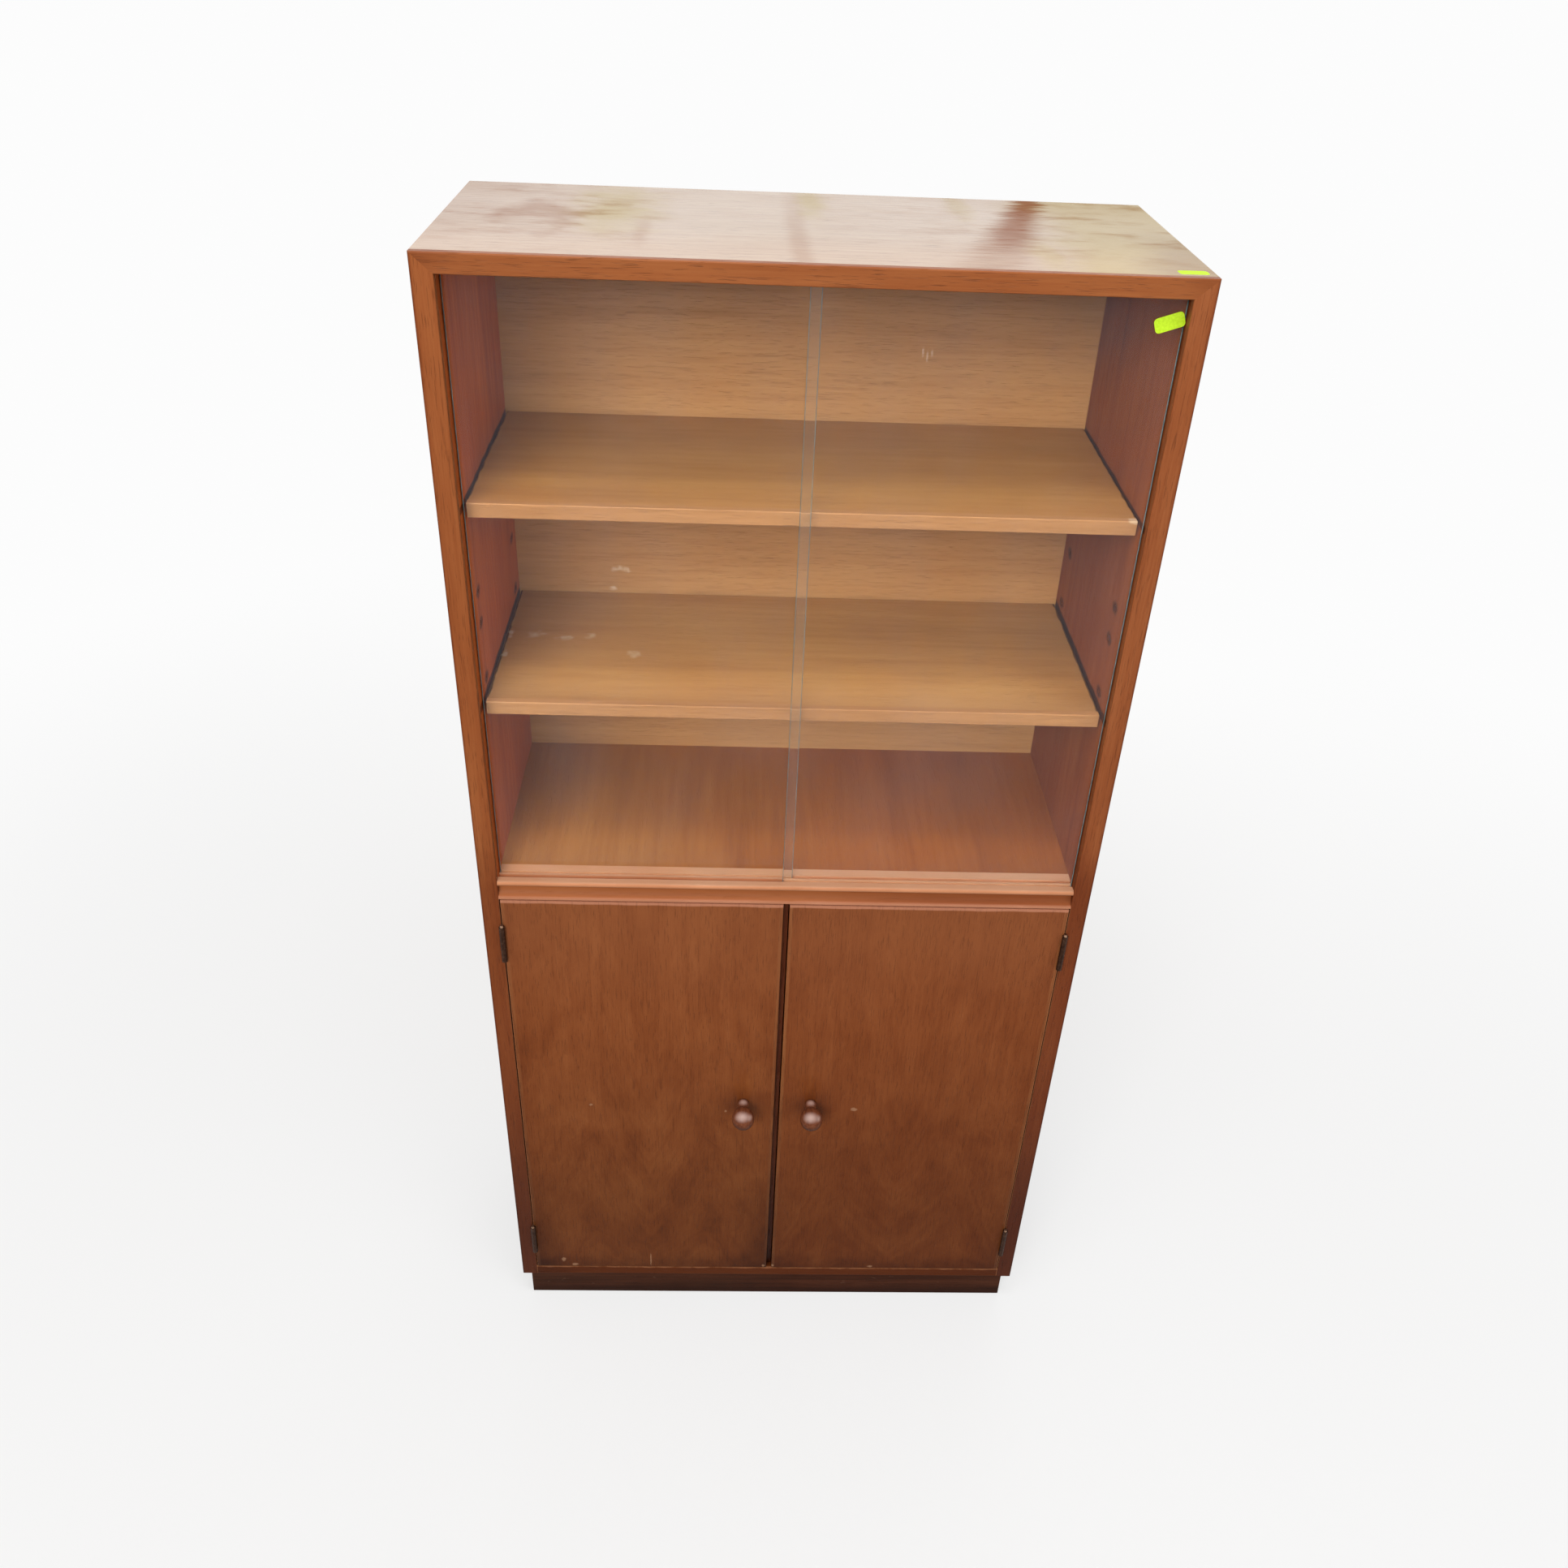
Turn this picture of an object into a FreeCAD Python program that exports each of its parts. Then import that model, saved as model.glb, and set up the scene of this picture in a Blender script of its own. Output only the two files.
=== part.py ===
import FreeCAD, Part
import math
import os

import Sketcher

# A tall bookcase in two stages, in millimetres.  The upper stage has two adjustable shelves
# behind a pair of glass panes that slide in twin grooves.  The lower stage is a cupboard with
# two hinged doors.  The whole stands on a recessed plinth.
#
# +Z is up and the front faces -Y.  The origin is on the ground, under the middle of the whole
# outline, knobs included.  Depths are counted from the front face of the case towards the back,
# and each piece's Placement carries it from there to the frame.

SIZES = {
    # case
    "caseWidth": 686.0,
    "caseHeight": 1416.0,
    "caseDepth": 302.0,
    "sideThickness": 20.0,
    "topThickness": 18.0,
    "bottomThickness": 15.0,
    "floorThickness": 18.0,
    "lippingDepth": 8.0,
    "arrisRadius": 1.2,
    # plywood back in its rebate
    "backThickness": 5.0,
    "backRebateDepth": 12.0,
    "backRebateLap": 9.0,
    "backClearance": 0.5,
    "panelPinRadius": 0.8,
    "panelPinLength": 15.0,
    "panelPinHeadRadius": 1.8,
    "panelPinHeadHeight": 0.6,
    # plinth
    "plinthHeight": 52.0,
    "plinthThickness": 18.0,
    "plinthSideInset": 10.0,
    "plinthFrontInset": 9.0,
    "plinthBackInset": 10.0,
    "plinthBlockWidth": 26.0,
    "plinthBlockHeight": 44.0,
    "plinthScrewRadius": 2.2,
    "plinthScrewHeadRadius": 4.5,
    "plinthScrewHeadHeight": 3.0,
    "plinthScrewBite": 9.0,
    # moulded rail between the two stages
    "cupboardOpening": 658.0,
    "railLipHeight": 2.5,
    "railCoveHeight": 15.0,
    "railCoveDepth": 6.5,
    "railCoveHollow": 3.2,
    "railNosingRadius": 3.25,
    "railRearLand": 12.0,
    # grooves for the glass
    "trackLand": 2.0,
    "trackRib": 3.0,
    "trackClearance": 1.0,
    "lowerTrackDepth": 4.0,
    # sliding glass
    "glassThickness": 4.0,
    "glassOverlap": 11.0,
    "glassEndGap": 1.0,
    "glassRunGap": 0.2,
    "glassTopEntry": 5.0,
    "glassLiftClearance": 1.5,
    # shelves
    "shelfThickness": 15.0,
    "shelfGlassGap": 5.0,
    "shelfBackGap": 3.0,
    "shelfEndGap": 2.5,
    "upperShelfDrop": 214.0,
    "lowerShelfRise": 217.0,
    "cupboardShelfRise": 320.0,
    "cupboardShelfSet": 25.0,
    "pegRadius": 3.0,
    "pegBite": 10.0,
    "pegReach": 9.0,
    "pegFrontSet": 27.0,
    "pegBackSet": 24.0,
    "spareHoleStart": 231.5,
    "spareHoleMiddle": 294.5,
    "spareHoleEnd": 329.5,
    # housings and tongues in the joints
    "housingDepth": 6.0,
    "tongueThickness": 4.0,
    "tongueReach": 7.0,
    "tongueEndSet": 35.0,
    "jointGap": 0.1,
    # doors
    "doorThickness": 18.0,
    "doorTopGap": 2.0,
    "doorBottomGap": 2.0,
    "doorSideGap": 1.5,
    "doorMiddleGap": 7.0,
    "doorLippingWidth": 4.0,
    "closingTongueSet": 8.0,
    "closingTongueGap": 1.0,
    # butt hinges
    "hingeLength": 51.0,
    "hingeEndSet": 36.0,
    "hingeLeafWidth": 16.0,
    "hingeLeafThickness": 1.2,
    "hingeLeafGap": 0.1,
    "hingeKnuckleRadius": 3.2,
    "hingeKnuckleGap": 0.15,
    "hingeKnuckleStandoff": 0.3,
    "hingePinRadius": 1.4,
    "hingePinRunning": 0.05,
    "hingePinHeadRadius": 2.4,
    "hingePinTipRadius": 1.6,
    "hingePinHeadHeight": 2.5,
    "hingeScrewSet": 10.5,
    "hingeScrewEndSet": 9.0,
    "hingeScrewRadius": 1.6,
    "hingeScrewHeadRadius": 2.7,
    "hingeScrewHeadHeight": 1.2,
    "hingeScrewLength": 14.0,
    # knobs
    "knobReach": 42.0,
    "knobRadius": 14.0,
    "knobNeckRadius": 6.5,
    "knobBaseRadius": 8.5,
    "knobBaseHeight": 1.5,
    "knobFromMiddle": 42.5,
    "knobRise": 333.0,
    "knobScrewRadius": 2.0,
    "knobScrewBite": 12.0,
    "knobScrewHeadRadius": 4.0,
    "knobScrewTopRadius": 2.4,
    "knobScrewHeadHeight": 2.2,
    # magnetic catches, which are also the door stops
    "catchWidth": 44.0,
    "catchDepth": 13.0,
    "catchHeight": 14.0,
    "catchFromMiddle": 60.0,
    "catchPlateWidth": 34.0,
    "catchPlateHeight": 10.0,
    "catchPlateThickness": 1.0,
    "catchGap": 0.3,
}

HANDS = {"left": -1, "right": 1}
KNUCKLES = 5
PINS_PER_SIDE = 6
PINS_PER_CROSSING = 3
SHANK_SIDES = 6
HEAD_SIDES = 12
SAME_PLACE = 0.01
LEAST_CUT = 0.001


# Places that several pieces share, each written once as an expression on the sheet.
FRONT = "((Size.knobReach - Size.caseDepth) / 2)"
HALF = "(Size.caseWidth / 2)"
INNER = "(Size.caseWidth / 2 - Size.sideThickness)"
BACK = "(Size.caseDepth - Size.backRebateDepth)"
TOP_UNDER = "(Size.caseHeight - Size.topThickness)"
BOTTOM_TOP = "(Size.plinthHeight + Size.bottomThickness)"
RAIL_FOOT = f"({BOTTOM_TOP} + Size.cupboardOpening)"
RAIL_HEIGHT = "(Size.railLipHeight + Size.railCoveHeight + 2 * Size.railNosingRadius)"
FLOOR_TOP = f"({RAIL_FOOT} + {RAIL_HEIGHT})"
FLOOR_UNDER = f"({FLOOR_TOP} - Size.floorThickness)"
TRACK_WIDTH = "(Size.glassThickness + Size.trackClearance)"
FRONT_TRACK = "(Size.lippingDepth + Size.trackLand)"
REAR_TRACK = f"({FRONT_TRACK} + {TRACK_WIDTH} + Size.trackRib)"
RAIL_DEPTH = f"({REAR_TRACK} + {TRACK_WIDTH} + Size.railRearLand)"
UPPER_TRACK_DEPTH = "(Size.glassTopEntry + Size.lowerTrackDepth + Size.glassLiftClearance)"
SHELF_FRONT = f"({REAR_TRACK} + {TRACK_WIDTH} + Size.shelfGlassGap)"
SHELF_BACK = f"({BACK} - Size.shelfBackGap)"
SHELF_HALF = f"({INNER} - Size.shelfEndGap)"
UPPER_SHELF = f"({TOP_UNDER} - Size.upperShelfDrop)"
LOWER_SHELF = f"({FLOOR_TOP} + Size.lowerShelfRise)"
CUPBOARD_SHELF = f"({BOTTOM_TOP} + Size.cupboardShelfRise)"
CUPBOARD_SHELF_FRONT = "(Size.doorThickness + Size.cupboardShelfSet)"
DOOR_FOOT = f"({BOTTOM_TOP} + Size.doorBottomGap)"
DOOR_HEAD = f"({RAIL_FOOT} - Size.doorTopGap)"
DOOR_OUTER = f"({INNER} - Size.doorSideGap)"
DOOR_INNER = "(Size.doorMiddleGap / 2)"
HINGE_X = f"({INNER} - Size.doorSideGap / 2)"
HINGE_Y = "(-Size.hingeKnuckleRadius - Size.hingeKnuckleStandoff)"
LEAF_NEAR = "(Size.hingeLeafGap / 2)"
LEAF_FAR = "(Size.hingeLeafGap / 2 + Size.hingeLeafThickness)"
LOWER_HINGE = f"({DOOR_FOOT} + Size.hingeEndSet)"
UPPER_HINGE = f"({DOOR_HEAD} - Size.hingeEndSet - Size.hingeLength)"
HINGE_FEET = [LOWER_HINGE, UPPER_HINGE]
KNOB_HEIGHT = f"({DOOR_FOOT} + Size.knobRise)"
BACK_PANEL_TOP = f"({TOP_UNDER} + Size.backRebateLap)"
BACK_PANEL_HALF = f"({INNER} + Size.backRebateLap)"

doc = FreeCAD.newDocument("Bookcase")
sheet = doc.addObject("Spreadsheet::Sheet", "Size")
nodes = []


def fill_sheet():
    for row, (name, number) in enumerate(SIZES.items(), start=1):
        sheet.set(f"A{row}", name)
        sheet.set(f"B{row}", str(number))
        sheet.setAlias(f"B{row}", name)
    doc.recompute()


def number(expression):
    # Plain value of an expression on the sheet, for the first position of sketch geometry.
    return float(sheet.evalExpression(str(expression)))


def bind(thing, properties):
    for name, expression in properties.items():
        thing.setExpression(name, str(expression))
    return thing


def as_node(thing, label):
    thing.Label = label
    nodes.append(thing)
    return thing


def mirrored(hand, near, far):
    # A stretch along X, counted from the middle, on the side that hand names.
    return (near, far) if hand > 0 else (f"-({far})", f"-({near})")


# ---------------------------------------------------------------- bodies and sketches


def new_body(label):
    body = doc.addObject("PartDesign::Body", label)
    bind(body, {"Placement.Base.y": FRONT})
    return as_node(body, label)


def new_sketch(body, plane, at="0"):
    # at is the height of the sketch along the plane's own axis of the frame.
    sketch = body.newObject("Sketcher::SketchObject", "Sketch")
    origin_plane = [part for part in body.Origin.OriginFeatures if part.Role == plane + "_Plane"][0]
    sketch.AttachmentSupport = [(origin_plane, "")]
    sketch.MapMode = "FlatFace"
    sign = "-" if plane == "XZ" else ""
    bind(sketch, {"AttachmentOffset.Base.z": f"{sign}({at})"})
    return sketch


def hold(sketch, kind, entity, expression):
    # Ties a sketch point to the origin, or a circle to its radius, by one named constraint.
    name = f"{kind}{entity[0]}_{entity[-1]}"
    value = number(expression)
    if kind == "Radius":
        made = Sketcher.Constraint(kind, entity[0], value)
    else:
        made = Sketcher.Constraint(kind, -1, 1, entity[0], entity[1], value)
    index = sketch.addConstraint(made)
    sketch.renameConstraint(index, name)
    sketch.setExpression("Constraints." + name, str(expression))


def arc_radius(across, along, hollow):
    # Radius of an arc that spans across by along and bulges by hollow at its middle.
    return f"(({across}) ^ 2 + ({along}) ^ 2 + 4 * ({hollow}) ^ 2) / (8 * ({hollow}))"


def arc_between(start, end, radius, turn):
    # turn is 1 for an arc that runs anticlockwise from start to end, and -1 for a clockwise one.
    chord = end - start
    half = chord.Length / 2
    rise = math.sqrt(max(radius * radius - half * half, 0.0))
    left = FreeCAD.Vector(-chord.y, chord.x, 0).normalize()
    centre = start + chord * 0.5 + left * (rise * turn)
    first, last = (start, end) if turn > 0 else (end, start)
    angles = [math.atan2(point.y - centre.y, point.x - centre.x) for point in (first, last)]
    circle = Part.Circle(centre, FreeCAD.Vector(0, 0, 1), radius)
    return Part.ArcOfCircle(circle, angles[0], angles[1])


def draw_outline(sketch, corners, arcs=None):
    # corners are pairs of expressions; arcs maps a side's number to (radius, turn).
    arcs = arcs or {}
    spots = [FreeCAD.Vector(number(across), number(up), 0) for across, up in corners]
    sides = []
    for side, spot in enumerate(spots):
        following = spots[(side + 1) % len(spots)]
        if side in arcs:
            radius, turn = arcs[side]
            index = sketch.addGeometry(arc_between(spot, following, number(radius), turn), False)
            sides.append((index, 1, 2) if turn > 0 else (index, 2, 1))
        else:
            index = sketch.addGeometry(Part.LineSegment(spot, following), False)
            sides.append((index, 1, 2))
    for side, (index, start, _) in enumerate(sides):
        before = sides[side - 1]
        sketch.addConstraint(Sketcher.Constraint("Coincident", before[0], before[2], index, start))
        hold(sketch, "DistanceX", (index, start), corners[side][0])
        hold(sketch, "DistanceY", (index, start), corners[side][1])
        if side in arcs:
            hold(sketch, "Radius", (index,), arcs[side][0])


def draw_circles(sketch, centres, radius):
    for across, up in centres:
        middle = FreeCAD.Vector(number(across), number(up), 0)
        index = sketch.addGeometry(Part.Circle(middle, FreeCAD.Vector(0, 0, 1), number(radius)), False)
        hold(sketch, "DistanceX", (index, 3), across)
        hold(sketch, "DistanceY", (index, 3), up)
        hold(sketch, "Radius", (index,), radius)


def rectangle(low, high):
    return [(low[0], low[1]), (high[0], low[1]), (high[0], high[1]), (low[0], high[1])]


def pad(body, plane, at, corners, length, arcs=None):
    # Grows an outline by length along the positive axis that the plane faces.
    sketch = new_sketch(body, plane, at)
    draw_outline(sketch, corners, arcs)
    feature = body.newObject("PartDesign::Pad", "Pad")
    feature.Profile = sketch
    feature.Reversed = plane == "XZ"
    return bind(feature, {"Length": length})


def cut(body, sketch, plane, depth, toward):
    feature = body.newObject("PartDesign::Pocket", "Pocket")
    feature.Profile = sketch
    feature.Reversed = (toward < 0) if plane == "XZ" else (toward > 0)
    return bind(feature, {"Length": depth})


def pocket(body, plane, at, corners, depth, toward):
    sketch = new_sketch(body, plane, at)
    draw_outline(sketch, corners)
    return cut(body, sketch, plane, depth, toward)


def drill(body, plane, at, centres, radius, depth, toward):
    sketch = new_sketch(body, plane, at)
    draw_circles(sketch, centres, radius)
    return cut(body, sketch, plane, depth, toward)


def round_edges(body, chosen, radius):
    # Rounds the straight edges of the last feature that chosen picks by their two ends.
    doc.recompute()
    base = body.Tip
    names = []
    for index, edge in enumerate(base.Shape.Edges, start=1):
        ends = [vertex.Point for vertex in edge.Vertexes]
        if len(ends) == 2 and chosen(ends[0], ends[1]):
            names.append(f"Edge{index}")
    feature = body.newObject("PartDesign::Fillet", "Fillet")
    feature.Base = (base, names)
    return bind(feature, {"Radius": radius})


def both_at(points, axis, place):
    return all(abs(getattr(point, axis) - place) < SAME_PLACE for point in points)


def round_front_arris(body, front="0"):
    # Takes the sharpness off the level front edges of a lipping.
    face = number(front)
    round_edges(body, lambda a, b: both_at((a, b), "y", face) and abs(a.z - b.z) < SAME_PLACE,
                "Size.arrisRadius")


def board(label, low, high):
    # A plain sawn board between two corners given in the case's own coordinates.
    box = doc.addObject("Part::Box", label)
    bind(box, {
        "Length": f"{high[0]} - ({low[0]})",
        "Width": f"{high[1]} - ({low[1]})",
        "Height": f"{high[2]} - ({low[2]})",
        "Placement.Base.x": low[0],
        "Placement.Base.y": f"{FRONT} + {low[1]}",
        "Placement.Base.z": low[2],
    })
    return box


def rod(name, centre, radius, length, turned=None, tip=None, sides=None):
    # A round bar from centre along turned (default +Z): a cone when tip gives its far radius,
    # and a many-sided shank, for what is driven into wood, when sides gives how many.
    if tip:
        made = doc.addObject("Part::Cone", name)
        bind(made, {"Radius1": radius, "Radius2": tip, "Height": length})
    elif sides:
        made = doc.addObject("Part::Prism", name)
        made.Polygon = sides
        bind(made, {"Circumradius": radius, "Height": length})
    else:
        made = doc.addObject("Part::Cylinder", name)
        bind(made, {"Radius": radius, "Height": length})
    if turned:
        made.Placement = FreeCAD.Placement(
            FreeCAD.Vector(), FreeCAD.Rotation(FreeCAD.Vector(0, 0, 1), FreeCAD.Vector(*turned)))
    bind(made, {
        "Placement.Base.x": centre[0],
        "Placement.Base.y": f"{FRONT} + {centre[1]}",
        "Placement.Base.z": centre[2],
    })
    return made


def fused(name, pieces):
    made = doc.addObject("Part::MultiFuse", name)
    made.Shapes = pieces
    return made


def less(name, base, tools):
    # base with every tool taken away from it.
    made = doc.addObject("Part::Cut", name)
    made.Base = base
    made.Tool = fused(name + "Tools", tools)
    return made


def group(label, pieces):
    made = doc.addObject("Part::Compound", label)
    made.Links = pieces
    return as_node(made, label)


def wood_screw(start, turned, family, length):
    # A countersunk screw, its head's flat at start; family begins the names of its sizes.
    head = rod("Head", start, f"Size.{family}HeadRadius", f"Size.{family}HeadHeight", turned,
               tip=f"Size.{family}Radius")
    shank = rod("Shank", start, f"Size.{family}Radius", length, turned, sides=SHANK_SIDES)
    return fused("WoodScrew", [head, shank])


# ---------------------------------------------------------------- case


def side_profile(hand):
    # Front view of a side: square foot, mitred head.
    outer = f"{hand} * {HALF}"
    inner = f"{hand} * {INNER}"
    return [
        (outer, "Size.plinthHeight"),
        (inner, "Size.plinthHeight"),
        (inner, TOP_UNDER),
        (outer, "Size.caseHeight"),
    ]


def top_profile():
    return [
        (f"-{HALF}", "Size.caseHeight"),
        (f"-{INNER}", TOP_UNDER),
        (INNER, TOP_UNDER),
        (HALF, "Size.caseHeight"),
    ]


def cut_back_rebate(body):
    corners = rectangle((f"-{BACK_PANEL_HALF}", "0"), (BACK_PANEL_HALF, BACK_PANEL_TOP))
    pocket(body, "XZ", "Size.caseDepth", corners, "Size.backRebateDepth", toward=-1)


def tongue_corners(hand, gap):
    # The loose tongue crosses the mitre square at its middle; gap widens it into its groove.
    slope = "sqrt(Size.sideThickness ^ 2 + Size.topThickness ^ 2)"
    middle = (f"({HALF} - Size.sideThickness / 2)", "(Size.caseHeight - Size.topThickness / 2)")
    along = (f"(-Size.sideThickness / {slope})", f"(-Size.topThickness / {slope})")
    across = (f"(Size.topThickness / {slope})", f"(-Size.sideThickness / {slope})")
    reach = f"(Size.tongueReach + {gap})"
    half = f"(Size.tongueThickness / 2 + {gap})"
    corners = []
    for first, second in ((-1, -1), (1, -1), (1, 1), (-1, 1)):
        x = f"{hand} * ({middle[0]} + {first} * {reach} * {across[0]} + {second} * {half} * {along[0]})"
        z = f"{middle[1]} + {first} * {reach} * {across[1]} + {second} * {half} * {along[1]}"
        corners.append((x, z))
    return corners


def cut_tongue_groove(body, hand):
    start = "(Size.tongueEndSet - Size.jointGap)"
    length = "(Size.caseDepth - 2 * Size.tongueEndSet + 2 * Size.jointGap)"
    pocket(body, "XZ", start, tongue_corners(hand, "Size.jointGap"), length, toward=1)


def make_mitre_tongue(side, hand):
    body = new_body(side + "_mitre_tongue")
    pad(body, "XZ", "Size.tongueEndSet", tongue_corners(hand, "0"),
        "Size.caseDepth - 2 * Size.tongueEndSet")


def peg_rows(heights, front):
    # Hole centres in the two columns of a side, at each of the heights.
    columns = [f"({front} + Size.pegFrontSet)", f"({SHELF_BACK} - Size.pegBackSet)"]
    return [(column, height) for height in heights for column in columns]


def peg_height(shelf_top):
    return f"({shelf_top} - Size.shelfThickness - Size.pegRadius)"


def cut_housing(body, hand, front, foot, head):
    # A stopped groove that takes the end of a board laid between the sides.
    corners = rectangle((front, foot), (BACK, f"({head} + Size.jointGap)"))
    pocket(body, "YZ", f"{hand} * {INNER}", corners, "Size.housingDepth + Size.jointGap", hand)


def leaf_screw_spots(foot):
    # Both screws of a hinge leaf whose lower end is at foot.
    ends = (f"({foot} + Size.hingeScrewEndSet)", f"({foot} + Size.hingeLength - Size.hingeScrewEndSet)")
    return [("Size.hingeScrewSet", end) for end in ends]


HINGE_SCREW_SPOTS = [spot for foot in HINGE_FEET for spot in leaf_screw_spots(foot)]
GAIN_DEPTH = f"({LEAF_FAR} - Size.doorSideGap / 2)"


def cut_hinge_gains(body, hand, face, toward):
    # Shallow seats that take the leaves, one pocket each for the lower and the upper hinge.
    for foot in HINGE_FEET:
        head = f"({foot} + Size.hingeLength)"
        corners = rectangle(("-Size.arrisRadius", foot), ("Size.hingeLeafWidth", head))
        pocket(body, "YZ", f"{hand} * {face}", corners, GAIN_DEPTH, toward)


def make_side_panel(side, hand):
    body = new_body(side + "_side_panel")
    pad(body, "XZ", "Size.lippingDepth", side_profile(hand), "Size.caseDepth - Size.lippingDepth")
    cut_back_rebate(body)
    cut_tongue_groove(body, hand)
    face = f"{hand} * {INNER}"
    bore = "(Size.pegRadius + Size.jointGap)"
    for shelf, front in ((UPPER_SHELF, SHELF_FRONT), (LOWER_SHELF, SHELF_FRONT),
                         (CUPBOARD_SHELF, CUPBOARD_SHELF_FRONT)):
        drill(body, "YZ", face, peg_rows([peg_height(shelf)], front), bore, "Size.pegBite", hand)
    spare = [f"({FLOOR_TOP} + Size.spareHole{place})" for place in ("Start", "Middle", "End")]
    for height in spare:
        drill(body, "YZ", face, peg_rows([height], SHELF_FRONT), bore, "Size.pegBite", hand)
    cut_housing(body, hand, "Size.lippingDepth", "Size.plinthHeight", BOTTOM_TOP)
    cut_housing(body, hand, RAIL_DEPTH, FLOOR_UNDER, FLOOR_TOP)
    cut_hinge_gains(body, hand, INNER, hand)


def make_side_lipping(side, hand):
    body = new_body(side + "_side_lipping")
    pad(body, "XZ", "0", side_profile(hand), "Size.lippingDepth")
    round_edges(body, lambda a, b: both_at((a, b), "y", 0) and abs(a.x - b.x) < SAME_PLACE,
                "Size.arrisRadius")
    cut_hinge_gains(body, hand, INNER, hand)


def make_top():
    body = new_body("top_panel")
    pad(body, "XZ", "Size.lippingDepth", top_profile(), "Size.caseDepth - Size.lippingDepth")
    for track in (FRONT_TRACK, REAR_TRACK):
        corners = rectangle((f"-{INNER}", track), (INNER, f"({track} + {TRACK_WIDTH})"))
        pocket(body, "XY", TOP_UNDER, corners, UPPER_TRACK_DEPTH, toward=1)
    cut_back_rebate(body)
    for hand in HANDS.values():
        cut_tongue_groove(body, hand)
    lipping = new_body("top_lipping")
    pad(lipping, "XZ", "0", top_profile(), "Size.lippingDepth")
    round_front_arris(lipping)


def make_cross_board(label, front, foot, head):
    # A board whose ends are housed in both sides.
    end = f"({INNER} + Size.housingDepth)"
    as_node(board(label, (f"-{end}", front, foot), (end, BACK, head)), label)


def make_bottom():
    make_cross_board("bottom_panel", "Size.lippingDepth", "Size.plinthHeight", BOTTOM_TOP)
    lipping = new_body("bottom_lipping")
    pad(lipping, "XZ", "0", rectangle((f"-{INNER}", "Size.plinthHeight"), (INNER, BOTTOM_TOP)),
        "Size.lippingDepth")
    round_front_arris(lipping)


def make_front_rail():
    # One length of moulding, glued along the front of the glazed floor: round nosing over a cove
    # and a lip, with both glass grooves ploughed into its upper face.
    body = new_body("front_rail")
    bead = "Size.railNosingRadius"
    cove_foot = f"({RAIL_FOOT} + Size.railLipHeight)"
    cove_head = f"({cove_foot} + Size.railCoveHeight)"
    groove_floor = f"({FLOOR_TOP} - Size.lowerTrackDepth)"
    corners = [
        (RAIL_DEPTH, RAIL_FOOT),
        (RAIL_DEPTH, FLOOR_TOP),
    ]
    for track in (REAR_TRACK, FRONT_TRACK):
        far = f"({track} + {TRACK_WIDTH})"
        corners += [(far, FLOOR_TOP), (far, groove_floor), (track, groove_floor), (track, FLOOR_TOP)]
    nosing = len(corners)
    corners += [
        (bead, FLOOR_TOP),
        ("0", f"({FLOOR_TOP} - {bead})"),
        (bead, cove_head),
        ("Size.railCoveDepth", cove_head),
        ("0", cove_foot),
        ("0", RAIL_FOOT),
    ]
    cove = arc_radius("Size.railCoveDepth", "Size.railCoveHeight", "Size.railCoveHollow")
    arcs = {nosing: (bead, 1), nosing + 1: (bead, 1), nosing + 3: (cove, -1)}
    pad(body, "YZ", f"-{INNER}", corners, f"2 * {INNER}", arcs)


def make_back():
    half = f"({BACK_PANEL_HALF} - Size.backClearance)"
    head = f"({BACK_PANEL_TOP} - Size.backClearance)"
    as_node(board("back_panel", (f"-{half}", BACK, "Size.plinthHeight"),
                  (half, f"({BACK} + Size.backThickness)", head)), "back_panel")
    edge = f"({INNER} + Size.backRebateLap / 2)"
    run = f"({head} - Size.plinthHeight)"
    spots = []
    for step in range(PINS_PER_SIDE):
        height = f"(Size.plinthHeight + {run} * {step + 0.5} / {PINS_PER_SIDE})"
        spots += [(f"{hand} * {edge}", height) for hand in HANDS.values()]
    levels = ("(Size.plinthHeight + Size.bottomThickness / 2)",
              f"({FLOOR_TOP} - Size.floorThickness / 2)",
              f"({TOP_UNDER} + Size.backRebateLap / 2)")
    for level in levels:
        for step in range(PINS_PER_CROSSING):
            spots.append((f"{INNER} * {2 * (step + 0.5) / PINS_PER_CROSSING - 1}", level))
    pins = []
    for across, height in spots:
        outside = (across, f"({BACK} + Size.backThickness)", height)
        shank = rod("Shank", outside, "Size.panelPinRadius", "Size.panelPinLength",
                    turned=(0, -1, 0), sides=SHANK_SIDES)
        head = rod("Head", outside, "Size.panelPinHeadRadius", "Size.panelPinHeadHeight",
                   turned=(0, 1, 0), sides=HEAD_SIDES)
        pins.append(fused("PanelPin", [shank, head]))
    group("back_panel_pins", pins)


# ---------------------------------------------------------------- plinth


PLINTH_HALF = f"({HALF} - Size.plinthSideInset)"
PLINTH_BACK = "(Size.caseDepth - Size.plinthBackInset)"
PLINTH_INNER_FRONT = "(Size.plinthFrontInset + Size.plinthThickness)"
PLINTH_INNER_BACK = f"({PLINTH_BACK} - Size.plinthThickness)"
PLINTH_INNER_HALF = f"({PLINTH_HALF} - Size.plinthThickness)"


def plinth_block_corners():
    # Low corner of each glue block, in the four inner corners of the plinth.
    corners = []
    for hand in HANDS.values():
        low, _ = mirrored(hand, f"({PLINTH_INNER_HALF} - Size.plinthBlockWidth)", PLINTH_INNER_HALF)
        corners.append((low, PLINTH_INNER_FRONT))
        corners.append((low, f"({PLINTH_INNER_BACK} - Size.plinthBlockWidth)"))
    return corners


def plinth_screw_spots():
    half = "Size.plinthBlockWidth / 2"
    return [(f"({low} + {half})", f"({front} + {half})") for low, front in plinth_block_corners()]


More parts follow.
